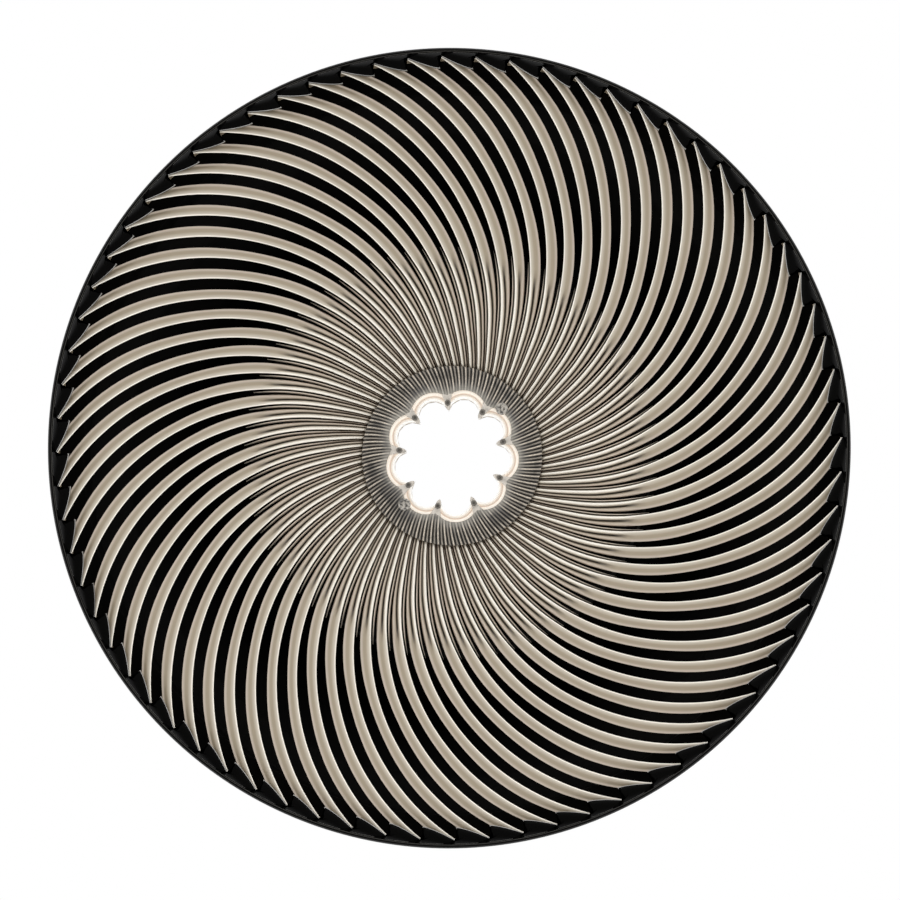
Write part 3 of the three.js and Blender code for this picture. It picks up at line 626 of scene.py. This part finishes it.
LOBES = 9
LOBE_CENTRE_R = 34.0
LOBE_R = 12.0
LOBE_TURN = 5.4
LOBE_PITCH = 360 / LOBES
REVEAL = 6.2
COLLAR_STATIONS = 160
TAIL_RIDGE = 1.6
FINGER_INNER_R, FINGER_OUTER_R = 35.6, 52.0
COLLAR_SECTION = ((0.0, 4.0, 0.0), (0.0, 0.7, 0.0), (0.05, 0.15, 0.0), (0.13, 0.0, 0.3),
                  (0.24, 0.0, 0.7), (0.37, 0.1, 1.2), (0.51, 0.3, 1.7), (0.65, 0.7, 2.2),
                  (0.79, 1.3, 2.4), (0.91, 2.1, 1.8), (1.0, 2.9, 1.1), (1.0, 4.0, 0.0))
FINGER_SECTION = ((-1.0, 3.8), (-1.0, 1.6), (-0.8, 0.7), (-0.35, 0.25), (0.35, 0.25), (0.8, 0.7),
                  (1.0, 1.6), (1.0, 3.8))
FINGER_BACK = 3.8
SINK_FROM_R, SINK_SLOPE = 48.0, 0.35
FINGER_HALF = ((35.6, 0.4), (36.4, 1.3), (38.5, 2.0), (43.0, 2.6), (48.0, 4.2), (52.0, 6.2))

collar_low, collar_high = extent("smoke_collar")


def lobe_edge(bearing, reach):
    """Distance from the axis to a ring of lobes, each with this radius."""
    across = (bearing - LOBE_TURN + LOBE_PITCH / 2) % LOBE_PITCH - LOBE_PITCH / 2
    side = LOBE_CENTRE_R * math.sin(math.radians(across))
    return LOBE_CENTRE_R * math.cos(math.radians(across)) + math.sqrt(reach ** 2 - side ** 2)


collar_shape = bmesh.new()
crest_layer = collar_shape.verts.layers.float.new("crest")
inward_layer = collar_shape.verts.layers.float.new("inward")


def collar_point(vert, along, number):
    outward, setback, ridge = COLLAR_SECTION[number]
    start = LOBE_TURN + LOBE_PITCH * (along - 0.5)
    bearing = start
    for _ in range(4):
        edge_r = lobe_edge(bearing, LOBE_R + REVEAL)
        r = edge_r + (collar_high.x - edge_r) * outward
        bearing = start + vane_bearing(r) - vane_bearing(collar_high.x)
    phase = (start - vane_bearing(collar_high.x) - TAIL_RIDGE) / PITCH
    crest = (0.5 + 0.5 * math.cos(4 * math.pi * phase)) * (0.8 + 0.2 * math.cos(2 * math.pi * phase))
    vert[crest_layer] = crest
    vert[inward_layer] = 1 - outward
    return polar_point(r, bearing, collar_low.z + setback + min(ridge, 4.0 - setback) * (1 - crest))


def finger_point(vert, along, number):
    r = FINGER_INNER_R + (FINGER_OUTER_R - FINGER_INNER_R) * along
    across, setback = FINGER_SECTION[number]
    setback = min(setback + max(0.0, r - SINK_FROM_R) * SINK_SLOPE, FINGER_BACK)
    side = across * between(r, FINGER_HALF)
    vert[crest_layer] = 0.3 + 0.5 * abs(across)
    vert[inward_layer] = 1.6
    turned = Matrix.Rotation(math.radians(LOBE_TURN + LOBE_PITCH / 2), 4, "Z")
    return turned @ Vector((r, side, collar_low.z + setback))


swept(collar_shape, COLLAR_STATIONS, len(COLLAR_SECTION), collar_point, caps=False)
swept(collar_shape, 10, len(FINGER_SECTION), finger_point)
repeated(collar_shape, LOBES)
tidied(collar_shape)

smoke, bench = finish_named("smoked_plastic")
crest = bench.add("Attribute", {"attribute_name": "crest"}, output=2)
inward = bench.add("Attribute", {"attribute_name": "inward"}, output=2)
cloud = bench.noise(46.0, 2.0).step(0.44, 0.62)
fine = bench.noise(260.0, 3.0)
# Towards the opening the crests and valleys both turn grey: painted backlight through the thin smoke.
painted_backlight = inward.step(0.66, 0.97)
lit_ridge_colour = bench.blend(painted_backlight, (0.92, 0.82, 0.69), (0.62, 0.58, 0.51))
shaded_valley_colour = bench.blend(painted_backlight, (0.003, 0.003, 0.004), (0.30, 0.28, 0.245))
# Rib crests are painted cream as lit ribs and valleys near-black: painted light and shade.
shaded = bench.blend(crest ** 1.5, shaded_valley_colour, lit_ridge_colour)
shaded = bench.blend(cloud * 0.55 * inward.step(0.05, 0.35) * inward.step(0.98, 0.8), shaded,
                     (0.03, 0.032, 0.036))
shaded = bench.blend(inward.step(1.2, 1.4), shaded, (0.80, 0.74, 0.66))
surface = bench.add("BsdfPrincipled", inputs={
    "Base Color": bench.blend(fine.step(0.45, 0.75) * 0.3, shaded, (0.10, 0.097, 0.09)),
    "Roughness": 0.32 + fine * 0.1,
    "Specular IOR Level": 0.35,
    "Coat Weight": 0.2,
    "Coat Roughness": 0.1,
})
bench.add("OutputMaterial", inputs={0: surface})

collar = placed("ribbed_collar", collar_shape, smoke, smooth=75)
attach(collar, "root")
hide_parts("smoke_collar")


# ---- lobed trim ----
# The cream lip of the nine-lobed opening, moulded with a raised edge on each side of a shallow groove.
# The groove is painted darker as shade, the inner edge carries a painted highlight, and the whole lip
# glows faintly as painted backlight. It is trapped between the collar and the clamp ring behind the
# core.

trim_low, trim_high = extent("lobed_trim")
TRIM_STATIONS = 44
TRIM_SECTION = ((0.0, 1.0), (0.0, 0.30), (0.25, 0.16), (0.8, 0.07), (1.5, 0.06), (2.2, 0.14),
                (2.8, 0.26), (3.3, 0.30), (3.8, 0.24), (4.4, 0.12), (5.0, 0.04), (5.8, 0.01),
                (8.0, 0.0), (15.4, 0.0), (15.4, 1.0))
LIP_SHADE_POINTS = {6: 0.5, 7: 1.0, 8: 0.6}
LIT_POINTS = {0: 1.0, 1: 1.0, 2: 1.0, 3: 0.9, 4: 0.6, 5: 0.25}

trim_shape = bmesh.new()
lip_shade_layer = trim_shape.verts.layers.float.new("groove_tone")
lit_layer = trim_shape.verts.layers.float.new("lit_edge")


def trim_point(vert, along, number):
    reach, height = TRIM_SECTION[number]
    bearing = LOBE_TURN + LOBE_PITCH * (along - 0.5)
    vert[lip_shade_layer] = LIP_SHADE_POINTS.get(number, 0.0)
    vert[lit_layer] = LIT_POINTS.get(number, 0.0)
    return polar_point(lobe_edge(bearing, LOBE_R + reach), bearing,
                       trim_low.z + (trim_high.z - trim_low.z) * height)


swept(trim_shape, TRIM_STATIONS, len(TRIM_SECTION), trim_point, caps=False)
repeated(trim_shape, LOBES)
tidied(trim_shape)

cream, bench = finish_named("cream_plastic")
lip_shade = bench.add("Attribute", {"attribute_name": "groove_tone"}, output=2)
cloud = bench.noise(60.0, 3.0)
lit_edge = bench.add("Attribute", {"attribute_name": "lit_edge"}, output=2)
light = bench.blend(cloud, (0.93, 0.84, 0.73), (0.97, 0.90, 0.81))
light = bench.blend(lit_edge, light, (1.0, 0.98, 0.94))
# The groove is painted darker: painted shade.
lit = bench.blend(lip_shade * (0.7 + 0.3 * cloud), light, (0.64, 0.53, 0.45))
surface = bench.add("BsdfPrincipled", inputs={
    "Base Color": lit,
    "Roughness": 0.3 + cloud * 0.08,
    # A faint glow, though the lip is no lamp: painted backlight.
    "Emission Color": lit,
    "Emission Strength": 0.3,
    "Coat Weight": 0.3,
})
bench.add("OutputMaterial", inputs={0: surface})

trim = placed("lobed_lip", trim_shape, cream, smooth=40)
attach(trim, "root")
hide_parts("lobed_trim")


# ---- centre screws and covers ----
# Blackened pan-head screws with a round socket hold the fingers of the collar. Two more sit under
# smoked snap-on covers with a turned ring pattern, on opposite sides of the opening.

HEAD_HEIGHT = 1.5
COVER_SHIFT = 4.4


def screw_shape(node, head_up):
    """A pan head on a plain shank, filling the node's box."""
    low, high = extent(node)
    head_r = (high.x - low.x) / 2
    shank_r = head_r * 0.52
    length = high.z - low.z
    shape = spun([
        (0, 0.75),
        (head_r * 0.42, 0.75),
        (head_r * 0.46, 0.08),
        (head_r * 0.52, 0.0),
        (head_r * 0.78, 0.1),
        (head_r * 0.95, 0.45),
        (head_r, 0.95),
        (head_r, HEAD_HEIGHT),
        (shank_r, HEAD_HEIGHT),
        (shank_r, length - 0.4),
        (shank_r - 0.4, length),
        (0, length),
    ], 24)
    if head_up:
        bmesh.ops.scale(shape, verts=shape.verts, vec=(1, 1, -1))
    start = high.z if head_up else low.z
    middle = ((low.x + high.x) / 2, (low.y + high.y) / 2, start)
    bmesh.ops.translate(shape, verts=shape.verts, vec=middle)
    return tidied(shape)


dark_steel, bench = finish_named("blackened_steel")
cloud = bench.noise(220.0, 4.0)
scratches = bench.noise(1500.0, 2.0)
surface = bench.add("BsdfPrincipled", inputs={
    "Base Color": bench.blend(cloud, (0.17, 0.155, 0.135), (0.27, 0.25, 0.22)),
    "Metallic": 0.6,
    "Roughness": 0.38 + scratches * 0.15,
    "Normal": bench.add("Bump", inputs={"Strength": 0.08, "Distance": 0.0001, "Height": scratches}),
})
bench.add("OutputMaterial", inputs={0: surface})

for i in range(1, LOBES + 1):
    screw = placed(f"finger_screw_{i}", screw_shape(f"lobe_screw_{i}", head_up=False), dark_steel)
    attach(screw, "root")
    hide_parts(f"lobe_screw_{i}")

cover_plastic, bench = finish_named("smoked_cover")
swirl = bench.noise(520.0, 3.0).step(0.42, 0.6)
cloud = bench.noise(150.0, 3.0)
surface = bench.add("BsdfPrincipled", inputs={
    "Base Color": bench.blend(swirl, (0.62, 0.58, 0.52), bench.blend(cloud, (0.10, 0.097, 0.09),
                                                                     (0.22, 0.21, 0.19))),
    "Roughness": 0.22 + cloud * 0.08,
    "Coat Weight": 0.6,
})
bench.add("OutputMaterial", inputs={0: surface})

for i in (1, 2):
    low, high = extent(f"centre_screw_{i}")
    middle = Vector(((low.x + high.x) / 2, (low.y + high.y) / 2, 0))
    middle = middle * (1 - COVER_SHIFT / middle.length) + Vector((0, 0, low.z))
    cover_shape = spun([
        (0, 0.5),
        (1.2, 0.4),
        (1.6, 0.9),
        (2.1, 0.9),
        (2.5, 0.25),
        (3.6, 0.1),
        (4.4, 0.5),
        (4.8, 1.2),
        (4.8, 3.5),
        (0, 3.5),
    ], 48)
    bmesh.ops.translate(cover_shape, verts=cover_shape.verts, vec=middle)
    cover = placed(f"screw_cover_{i}", tidied(cover_shape), cover_plastic)
    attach(cover, "root")
    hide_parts(f"centre_screw_{i}")


# ---- clamp ring ----
# A steel ring behind the core, tapped for the eleven centre screws, which pull the collar, the trim and
# the core together. Stamped, then powder coated black; its stamped edges are broken.

def rounded_copy(node, width, segments=2):
    """The CAD node's own shape with its edges broken."""
    shape = bmesh.new()
    shape.from_mesh(bpy.data.objects[node].data)
    bmesh.ops.scale(shape, verts=shape.verts, vec=(1 / MM, 1 / MM, 1 / MM))
    bmesh.ops.remove_doubles(shape, verts=shape.verts, dist=0.002)
    bmesh.ops.dissolve_limit(shape, angle_limit=math.radians(1), verts=shape.verts, edges=shape.edges)
    soften(shape, width, segments)
    return shape


black_powder, bench = finish_named("black_powder_coat")
cloud = bench.noise(7.0, 4.0)
peel = bench.noise(700.0, 3.0)
dust = bench.noise(2.5, 5.0).step(0.5, 0.75)
split = bench.add("SeparateXYZ", inputs={0: bench.add("NewGeometry", output=1)}, output=2)
radius, bearing = bench.polar()
hood_wall_r = extent("rear_hood")[1].x
outer_wall = radius.step(hood_wall_r - 0.8, hood_wall_r - 0.4)
# Faces that look down or inwards, apart from the hood's outer wall, are painted near-black: painted
# shade.
unshaded_side = split.step(0.05, 0.3)
unshaded_side = unshaded_side + (1.0 - unshaded_side) * outer_wall * split.step(-0.6, -0.3)
powder = bench.blend(cloud, (0.016, 0.016, 0.0165), (0.024, 0.024, 0.025))
coat = bench.blend(unshaded_side, (0.0015, 0.0013, 0.001), powder)
coat = bench.blend(unshaded_side * (0.15 + dust * 0.45), coat, (0.06, 0.058, 0.054))
coat = bench.blend(radius.step(49.0, 48.0), coat, (0.75, 0.69, 0.61))
surface = bench.add("BsdfPrincipled", inputs={
    "Base Color": coat,
    "Roughness": 0.5 + cloud * 0.15,
    "Specular IOR Level": 0.06,
    "Normal": bench.add("Bump", inputs={"Strength": 0.25, "Distance": 0.0003, "Height": peel}),
})
bench.add("OutputMaterial", inputs={0: surface})

clamp = placed("clamp_ring", rounded_copy("core_clamp", 0.3), black_powder)
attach(clamp, "root")
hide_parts("core_clamp")


# ---- flange and hood ----
# A flat flange ring lies on the rim, held by six small screws. On it stands the hood, spun from sheet:
# an upright wall, a cone with two swaged stiffening beads, and a flat top for the duct neck.

flange_low, flange_high = extent("flange_ring")
hood_low, hood_high = extent("rear_hood")
hood_outer_r = hood_high.x
SHEET = 1.5
HOOD_WALL_TOP_Z = 60.3
HOOD_SHOULDER_R = 190.0
HOOD_EDGE_R = 156.8
BEAD_PLACES = (0.3, 0.68)
BEAD_DIP = 1.3
hood_inner_r = hood_outer_r - SHEET

flange_shape = tidied(spun([
    (hood_inner_r, flange_low.z + 0.3),
    (hood_inner_r + 0.3, flange_low.z),
    (flange_high.x - 0.3, flange_low.z),
    (flange_high.x, flange_low.z + 0.3),
    (flange_high.x, flange_high.z - 0.4),
    (flange_high.x - 0.4, flange_high.z),
    (hood_inner_r + 0.3, flange_high.z),
    (hood_inner_r, flange_high.z - 0.3),
], RIM_STEPS))
flange = placed("hood_flange", flange_shape, black_powder)
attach(flange, "root")
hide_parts("flange_ring")

cone_foot = Vector((hood_outer_r, HOOD_WALL_TOP_Z))
cone_top = Vector((HOOD_SHOULDER_R, hood_high.z))
inward_normal = Vector((cone_foot.y - cone_top.y, cone_top.x - cone_foot.x)).normalized()
outer_line = [(hood_outer_r, hood_low.z), (hood_outer_r, HOOD_WALL_TOP_Z - 6)]
for share in (0.0, 0.015, 0.04):
    point = cone_foot.lerp(cone_top, share) + inward_normal * (1.0 - share * 25)
    outer_line.append((min(point.x, hood_outer_r - 0.3 * share * 25), point.y))
for place in BEAD_PLACES:
    for step, dip in ((-0.045, 0.0), (-0.025, 0.45), (0.0, 1.0), (0.025, 0.45), (0.045, 0.0)):
        point = cone_foot.lerp(cone_top, place + step) + inward_normal * dip * BEAD_DIP
        outer_line.append((point.x, point.y))
outer_line.append(tuple(cone_foot.lerp(cone_top, 0.97)))
outer_line.append((HOOD_SHOULDER_R - 1.0, hood_high.z - 0.25))
outer_line.append((HOOD_SHOULDER_R - 5.0, hood_high.z))
outer_line.append((HOOD_EDGE_R, hood_high.z))
inner_line = [(max(r - 1.2, HOOD_EDGE_R), z - 0.9) for r, z in reversed(outer_line[2:-1])]
inner_line = [(HOOD_EDGE_R, hood_high.z - SHEET)] + inner_line
inner_line += [(hood_inner_r, HOOD_WALL_TOP_Z - 6), (hood_inner_r, hood_low.z)]
hood_shape = tidied(spun(outer_line + inner_line, 216))

hood = placed("spun_hood", hood_shape, black_powder, smooth=50)
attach(hood, "root")
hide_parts("rear_hood")

for i in range(1, 7):
    screw = placed(f"flange_screw_{i}", screw_shape(f"rim_screw_{i}", head_up=True), dark_steel)
    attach(screw, "root")
    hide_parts(f"rim_screw_{i}")


# ---- ceiling gasket ----
# A die-cut ring of closed-cell foam stuck to the flange, which closes the gap to the ceiling board.

gasket_low, gasket_high = extent("ceiling_gasket")
GASKET_WIDTH = 7.0

foam, bench = finish_named("closed_cell_foam")
cells = bench.add("TexVoronoi", inputs={"Vector": bench.place(), "Scale": 900.0})
cloud = bench.noise(25.0, 3.0)
surface = bench.add("BsdfPrincipled", inputs={
    "Base Color": bench.blend(cells * 0.6 + cloud * 0.4, (0.010, 0.010, 0.010), (0.05, 0.05, 0.048)),
    "Roughness": 0.85 + cloud * 0.1,
    "Normal": bench.add("Bump", inputs={"Strength": 0.6, "Distance": 0.0004, "Height": cells}),
})
bench.add("OutputMaterial", inputs={0: surface})

gasket_shape = tidied(spun([
    (gasket_high.x - GASKET_WIDTH, gasket_low.z),
    (gasket_high.x, gasket_low.z),
    (gasket_high.x, gasket_high.z - 0.7),
    (gasket_high.x - 0.2, gasket_high.z - 0.2),
    (gasket_high.x - 0.7, gasket_high.z),
    (gasket_high.x - GASKET_WIDTH + 0.7, gasket_high.z),
    (gasket_high.x - GASKET_WIDTH + 0.2, gasket_high.z - 0.2),
    (gasket_high.x - GASKET_WIDTH, gasket_high.z - 0.7),
], 216))
gasket = placed("foam_gasket", gasket_shape, foam)
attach(gasket, "root")
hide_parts("ceiling_gasket")


# ---- duct neck ----
# Rolled from galvanised sheet with a turned-out foot, a turned-in ledge for the damper and a swaged
# bead under its mouth. The zinc has crystallised in spangles; faces that look down are painted black
# as shade.

neck_low, neck_high = extent("neck_spigot")
seal_low, seal_high = extent("neck_seal")
NECK_R = 156.5
NECK_WALL = 1.2
NECK_LEDGE = 5.5
LOCK_BEAD = 1.1

zinc, bench = finish_named("galvanised_sheet")
wobble = bench.add("TexNoise", inputs={"Vector": bench.place(), "Scale": 60.0, "Detail": 2.0}, output=1)
bent = bench.add("VectorMath", {"operation": "MULTIPLY_ADD"},
                 {0: wobble, 1: (0.008, 0.008, 0.008), 2: bench.place()})
spangle = bench.add("TexVoronoi", {"feature": "F1"}, {"Vector": bent, "Scale": 110.0}, output=1)
shade = bench.add("SeparateColor", inputs={0: spangle})
cloud = bench.noise(12.0, 4.0)
stain = bench.noise(5.0, 5.0).step(0.55, 0.75)
sheet = bench.blend(shade, (0.40, 0.42, 0.435), (0.62, 0.64, 0.655))
sheet = bench.blend(stain * 0.35, sheet, (0.50, 0.49, 0.47))
split = bench.add("SeparateXYZ", inputs={0: bench.add("NewGeometry", output=1)}, output=2)
# Faces that look down are painted near-black and not metallic: painted shade.
painted_underside_shade = split.step(-0.4, -0.8)
surface = bench.add("BsdfPrincipled", inputs={
    "Base Color": bench.blend(painted_underside_shade, sheet, (0.006, 0.006, 0.006)),
    "Metallic": 0.85 - painted_underside_shade * 0.85,
    "Roughness": 0.36 + shade * 0.14 + cloud * 0.08,
    "Normal": bench.add("Bump", inputs={"Strength": 0.04, "Distance": 0.0003, "Height": shade}),
})
bench.add("OutputMaterial", inputs={0: surface})

neck_inner_r = NECK_R - NECK_WALL
bead_z = neck_high.z - 6
neck_shape = tidied(spun([
    (neck_inner_r - NECK_LEDGE, neck_low.z),
    (neck_high.x - 0.3, neck_low.z),
    (neck_high.x, neck_low.z + 0.3),
    (neck_high.x, neck_low.z + SHEET - 0.3),
    (neck_high.x - 0.3, neck_low.z + SHEET),
    (NECK_R + 1.2, neck_low.z + SHEET),
    (NECK_R + 0.35, neck_low.z + SHEET + 0.35),
    (NECK_R, neck_low.z + SHEET + 1.2),
    (NECK_R, bead_z - 1.8),
    (NECK_R + LOCK_BEAD * 0.75, bead_z - 1.1),
    (NECK_R + LOCK_BEAD, bead_z),
    (NECK_R + LOCK_BEAD * 0.75, bead_z + 1.1),
    (NECK_R, bead_z + 1.8),
    (NECK_R, neck_high.z - 0.4),
    (NECK_R - 0.4, neck_high.z),
    (neck_inner_r + 0.3, neck_high.z),
    (neck_inner_r, neck_high.z - 0.4),
    (neck_inner_r, bead_z + 1.8),
    (neck_inner_r + LOCK_BEAD * 0.7, bead_z + 0.9),
    (neck_inner_r + LOCK_BEAD * 0.7, bead_z - 0.9),
    (neck_inner_r, bead_z - 1.8),
    (neck_inner_r, neck_low.z + SHEET),
    (neck_inner_r - NECK_LEDGE, neck_low.z + SHEET),
], 216))
neck = placed("galvanised_neck", neck_shape, zinc)
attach(neck, "root")
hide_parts("neck_spigot")


# ---- neck seal ----
# An extruded rubber band with two soft lips that wipe the inside of the duct, stretched over the neck.

rubber, bench = finish_named("seal_rubber")
cloud = bench.noise(30.0, 4.0)
bloom = bench.noise(4.0, 4.0).step(0.5, 0.8)
band = bench.blend(cloud, (0.012, 0.012, 0.012), (0.022, 0.022, 0.022))
surface = bench.add("BsdfPrincipled", inputs={
    "Base Color": bench.blend(bloom * 0.4, band, (0.06, 0.06, 0.058)),
    "Roughness": 0.55 + cloud * 0.15,
    "Normal": bench.add("Bump", inputs={"Strength": 0.15, "Distance": 0.0002, "Height": cloud}),
})
bench.add("OutputMaterial", inputs={0: surface})

seal_r = NECK_R + CLEARANCE
lip_r = seal_high.x
middle_z = (seal_low.z + seal_high.z) / 2
seal_shape = tidied(spun([
    (seal_r, seal_low.z),
    (seal_r + 1.0, seal_low.z),
    (seal_r + 1.6, seal_low.z + 0.5),
    (lip_r - 0.4, middle_z - 2.3),
    (lip_r, middle_z - 2.0),
    (lip_r - 0.4, middle_z - 1.6),
    (seal_r + 1.7, middle_z - 1.1),
    (seal_r + 1.2, middle_z - 0.6),
    (seal_r + 1.2, middle_z + 0.2),
    (seal_r + 1.7, middle_z + 0.7),
    (lip_r - 0.4, seal_high.z - 2.3),
    (lip_r, seal_high.z - 2.0),
    (lip_r - 0.4, seal_high.z - 1.6),
    (seal_r + 1.4, seal_high.z - 0.4),
    (seal_r + 0.9, seal_high.z),
    (seal_r, seal_high.z),
], 216))
seal = placed("lip_seal", seal_shape, rubber)
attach(seal, "root")
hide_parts("neck_seal")


# ---- damper ----
# Two stamped galvanised rings with nine windows each. The plate lies on the neck's ledge; the rotor
# turns on it under three hooked keepers and closes the windows when it is pushed round by its lever.

plate_low, plate_high = extent("damper_plate")
rotor_low, rotor_high = extent("damper_rotor")
WINDOWS = 9
WINDOW_HALF = 9.0
WINDOW_INNER_R = 84.0
WINDOW_OUTER_R = 136.3
DAMPER_BORE_R = 72.0
ROTOR_BORE_R = 74.0


def windowed(inner_r, outer_r, low, high):
    """A sheet ring with nine windows; its sheet is drawn from three grids a spoke and two a window."""
    shape = bmesh.new()
    spoke_half = 180 / WINDOWS - WINDOW_HALF
    for start, width, bands in (
            (WINDOW_HALF, 2 * spoke_half, ((inner_r, WINDOW_INNER_R), (WINDOW_INNER_R, WINDOW_OUTER_R),
                                           (WINDOW_OUTER_R, outer_r))),
            (-WINDOW_HALF, 2 * WINDOW_HALF, ((inner_r, WINDOW_INNER_R), (WINDOW_OUTER_R, outer_r)))):
        for near, far in bands:
            made = bmesh.ops.create_grid(shape, x_segments=1, y_segments=10, size=0.5)
            for vert in made["verts"]:
                r = near + (far - near) * (vert.co.x + 0.5)
                vert.co = polar_point(r, start + width * (vert.co.y + 0.5), low)
    repeated(shape, WINDOWS)
    thicken(shape, high - low)
    soften(shape, 0.25, 1, 60)
    return shape


plate_shape = windowed(DAMPER_BORE_R, plate_high.x, plate_low.z, plate_high.z)
plate_piece = placed("window_plate", plate_shape, zinc)
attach(plate_piece, "root")
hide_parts("damper_plate")

rotor_shape = windowed(ROTOR_BORE_R, rotor_high.x, rotor_low.z, rotor_high.z)
rotor_piece = placed("window_rotor", rotor_shape, zinc)
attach(rotor_piece, "damper")
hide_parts("damper_rotor")

for i in (1, 2, 3):
    keeper = placed(f"hooked_keeper_{i}", rounded_copy(f"rotor_keeper_{i}", 0.3), zinc)
    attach(keeper, "root")
    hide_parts(f"rotor_keeper_{i}")

lever = placed("bent_lever", rounded_copy("damper_lever", 0.3), zinc)
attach(lever, "damper")
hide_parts("damper_lever")


# ---- lever grip ----
# A natural nylon button pushed on to the lever's foot, for a finger through the centre opening.

nylon, bench = finish_named("natural_nylon")
cloud = bench.noise(180.0, 3.0)
surface = bench.add("BsdfPrincipled", inputs={
    "Base Color": bench.blend(cloud, (0.66, 0.63, 0.55), (0.74, 0.71, 0.64)),
    "Roughness": 0.42 + cloud * 0.12,
    "Normal": bench.add("Bump", inputs={"Strength": 0.06, "Distance": 0.0001, "Height": cloud}),
})
bench.add("OutputMaterial", inputs={0: surface})

grip = placed("nylon_grip", rounded_copy("lever_grip", 0.7, 3), nylon)
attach(grip, "damper")
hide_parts("lever_grip")


# ---- turn clips ----
# Three threaded posts stand on the flange on riveted feet. On each a nylon bush slides up against a
# spring and carries a blackened jaw, which is turned out over the ceiling board; a nut ends the post.

THREAD_PITCH = 0.7
SPRING_TURNS = 6
SPRING_STEPS = 20
SPRING_WIRE_R = 0.45
POST_R = 2.0

stud, bench = finish_named("threaded_stud")
height = bench.add("SeparateXYZ", inputs={0: bench.place()}, output=2)
turn = height * (2 * math.pi / (THREAD_PITCH * MM))
wave = turn.math("SINE", turn)
thread = wave * height.step(0.0371, 0.0375)
cloud = bench.noise(120.0, 3.0)
surface = bench.add("BsdfPrincipled", inputs={
    "Base Color": bench.blend(cloud, (0.50, 0.50, 0.47), (0.62, 0.62, 0.58)),
    "Metallic": 0.9,
    "Roughness": 0.3 + cloud * 0.15,
    "Normal": bench.add("Bump", inputs={"Strength": 0.8, "Distance": 0.0002, "Height": thread}),
})
bench.add("OutputMaterial", inputs={0: surface})

for i in (1, 2, 3):
    post_low, post_high = extent(f"clip_post_{i}")
    bush_low, bush_high = extent(f"clip_bush_{i}")
    spring_low, spring_high = extent(f"clip_spring_{i}")
    nut_low, nut_high = extent(f"clip_nut_{i}")
    centre = (bush_low + bush_high) / 2
    foot = Vector((centre.x, centre.y, 0))

    post = placed(f"clip_stud_{i}", rounded_copy(f"clip_post_{i}", 0.2), stud)
    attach(post, "root")
    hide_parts(f"clip_post_{i}")

    bush_r = (bush_high.x - bush_low.x) / 2
    neck_r = bush_r - 1.0
    bush_shape = spun([
        (POST_R + CLEARANCE, bush_low.z),
        (bush_r - 0.3, bush_low.z),
        (bush_r, bush_low.z + 0.3),
        (bush_r, bush_low.z + 1.2),
        (bush_r - 0.3, bush_low.z + 1.5),
        (neck_r, bush_low.z + 1.5),
        (neck_r, bush_high.z - 0.4),
        (neck_r - 0.25, bush_high.z),
        (POST_R + CLEARANCE, bush_high.z),
    ], 32)
    bmesh.ops.translate(bush_shape, verts=bush_shape.verts, vec=foot)
    bush = placed(f"nylon_bush_{i}", tidied(bush_shape), nylon)
    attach(bush, f"clip_bush_body_{i}")
    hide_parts(f"clip_bush_{i}")

    jaw = placed(f"turned_jaw_{i}", rounded_copy(f"clip_jaw_{i}", 0.35), dark_steel)
    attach(jaw, f"clip_jaw_body_{i}")
    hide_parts(f"clip_jaw_{i}")

    length = spring_high.z - spring_low.z
    coil_r = neck_r + SPRING_WIRE_R / 2
    steps = SPRING_TURNS * SPRING_STEPS
    spring_shape = bmesh.new()
    wire = bmesh.ops.create_circle(spring_shape, cap_ends=True, segments=8, radius=SPRING_WIRE_R,
                                   matrix=Matrix.Rotation(math.pi / 2, 4, "X"))
    bmesh.ops.translate(spring_shape, verts=wire["verts"], vec=(coil_r, 0, spring_low.z + SPRING_WIRE_R))
    rise = (length - 2 * SPRING_WIRE_R) / steps
    disc = spring_shape.verts[:] + spring_shape.edges[:] + spring_shape.faces[:]
    bmesh.ops.spin(spring_shape, geom=disc, axis=(0, 0, 1), cent=(0, 0, 0), dvec=(0, 0, rise),
                   angle=2 * math.pi * SPRING_TURNS, steps=steps, use_duplicate=False)
    bmesh.ops.translate(spring_shape, verts=spring_shape.verts, vec=foot)
    spring = placed(f"coil_spring_{i}", tidied(spring_shape), dark_steel)
    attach(spring, "root")
    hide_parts(f"clip_spring_{i}")
    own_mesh(spring)

    nut = placed(f"end_nut_{i}", rounded_copy(f"clip_nut_{i}", 0.45), zinc)
    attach(nut, "root")
    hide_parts(f"clip_nut_{i}")


# ---- hanger lugs ----
# Angle brackets of thicker galvanised sheet, spot-welded to the hood's flat top beside the neck, each
# with a hole for a hanger wire in its upright leg.

for i in (1, 2, 3):
    lug = placed(f"welded_lug_{i}", rounded_copy(f"hanger_lug_{i}", 0.4), zinc)
    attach(lug, "root")
    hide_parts(f"hanger_lug_{i}")
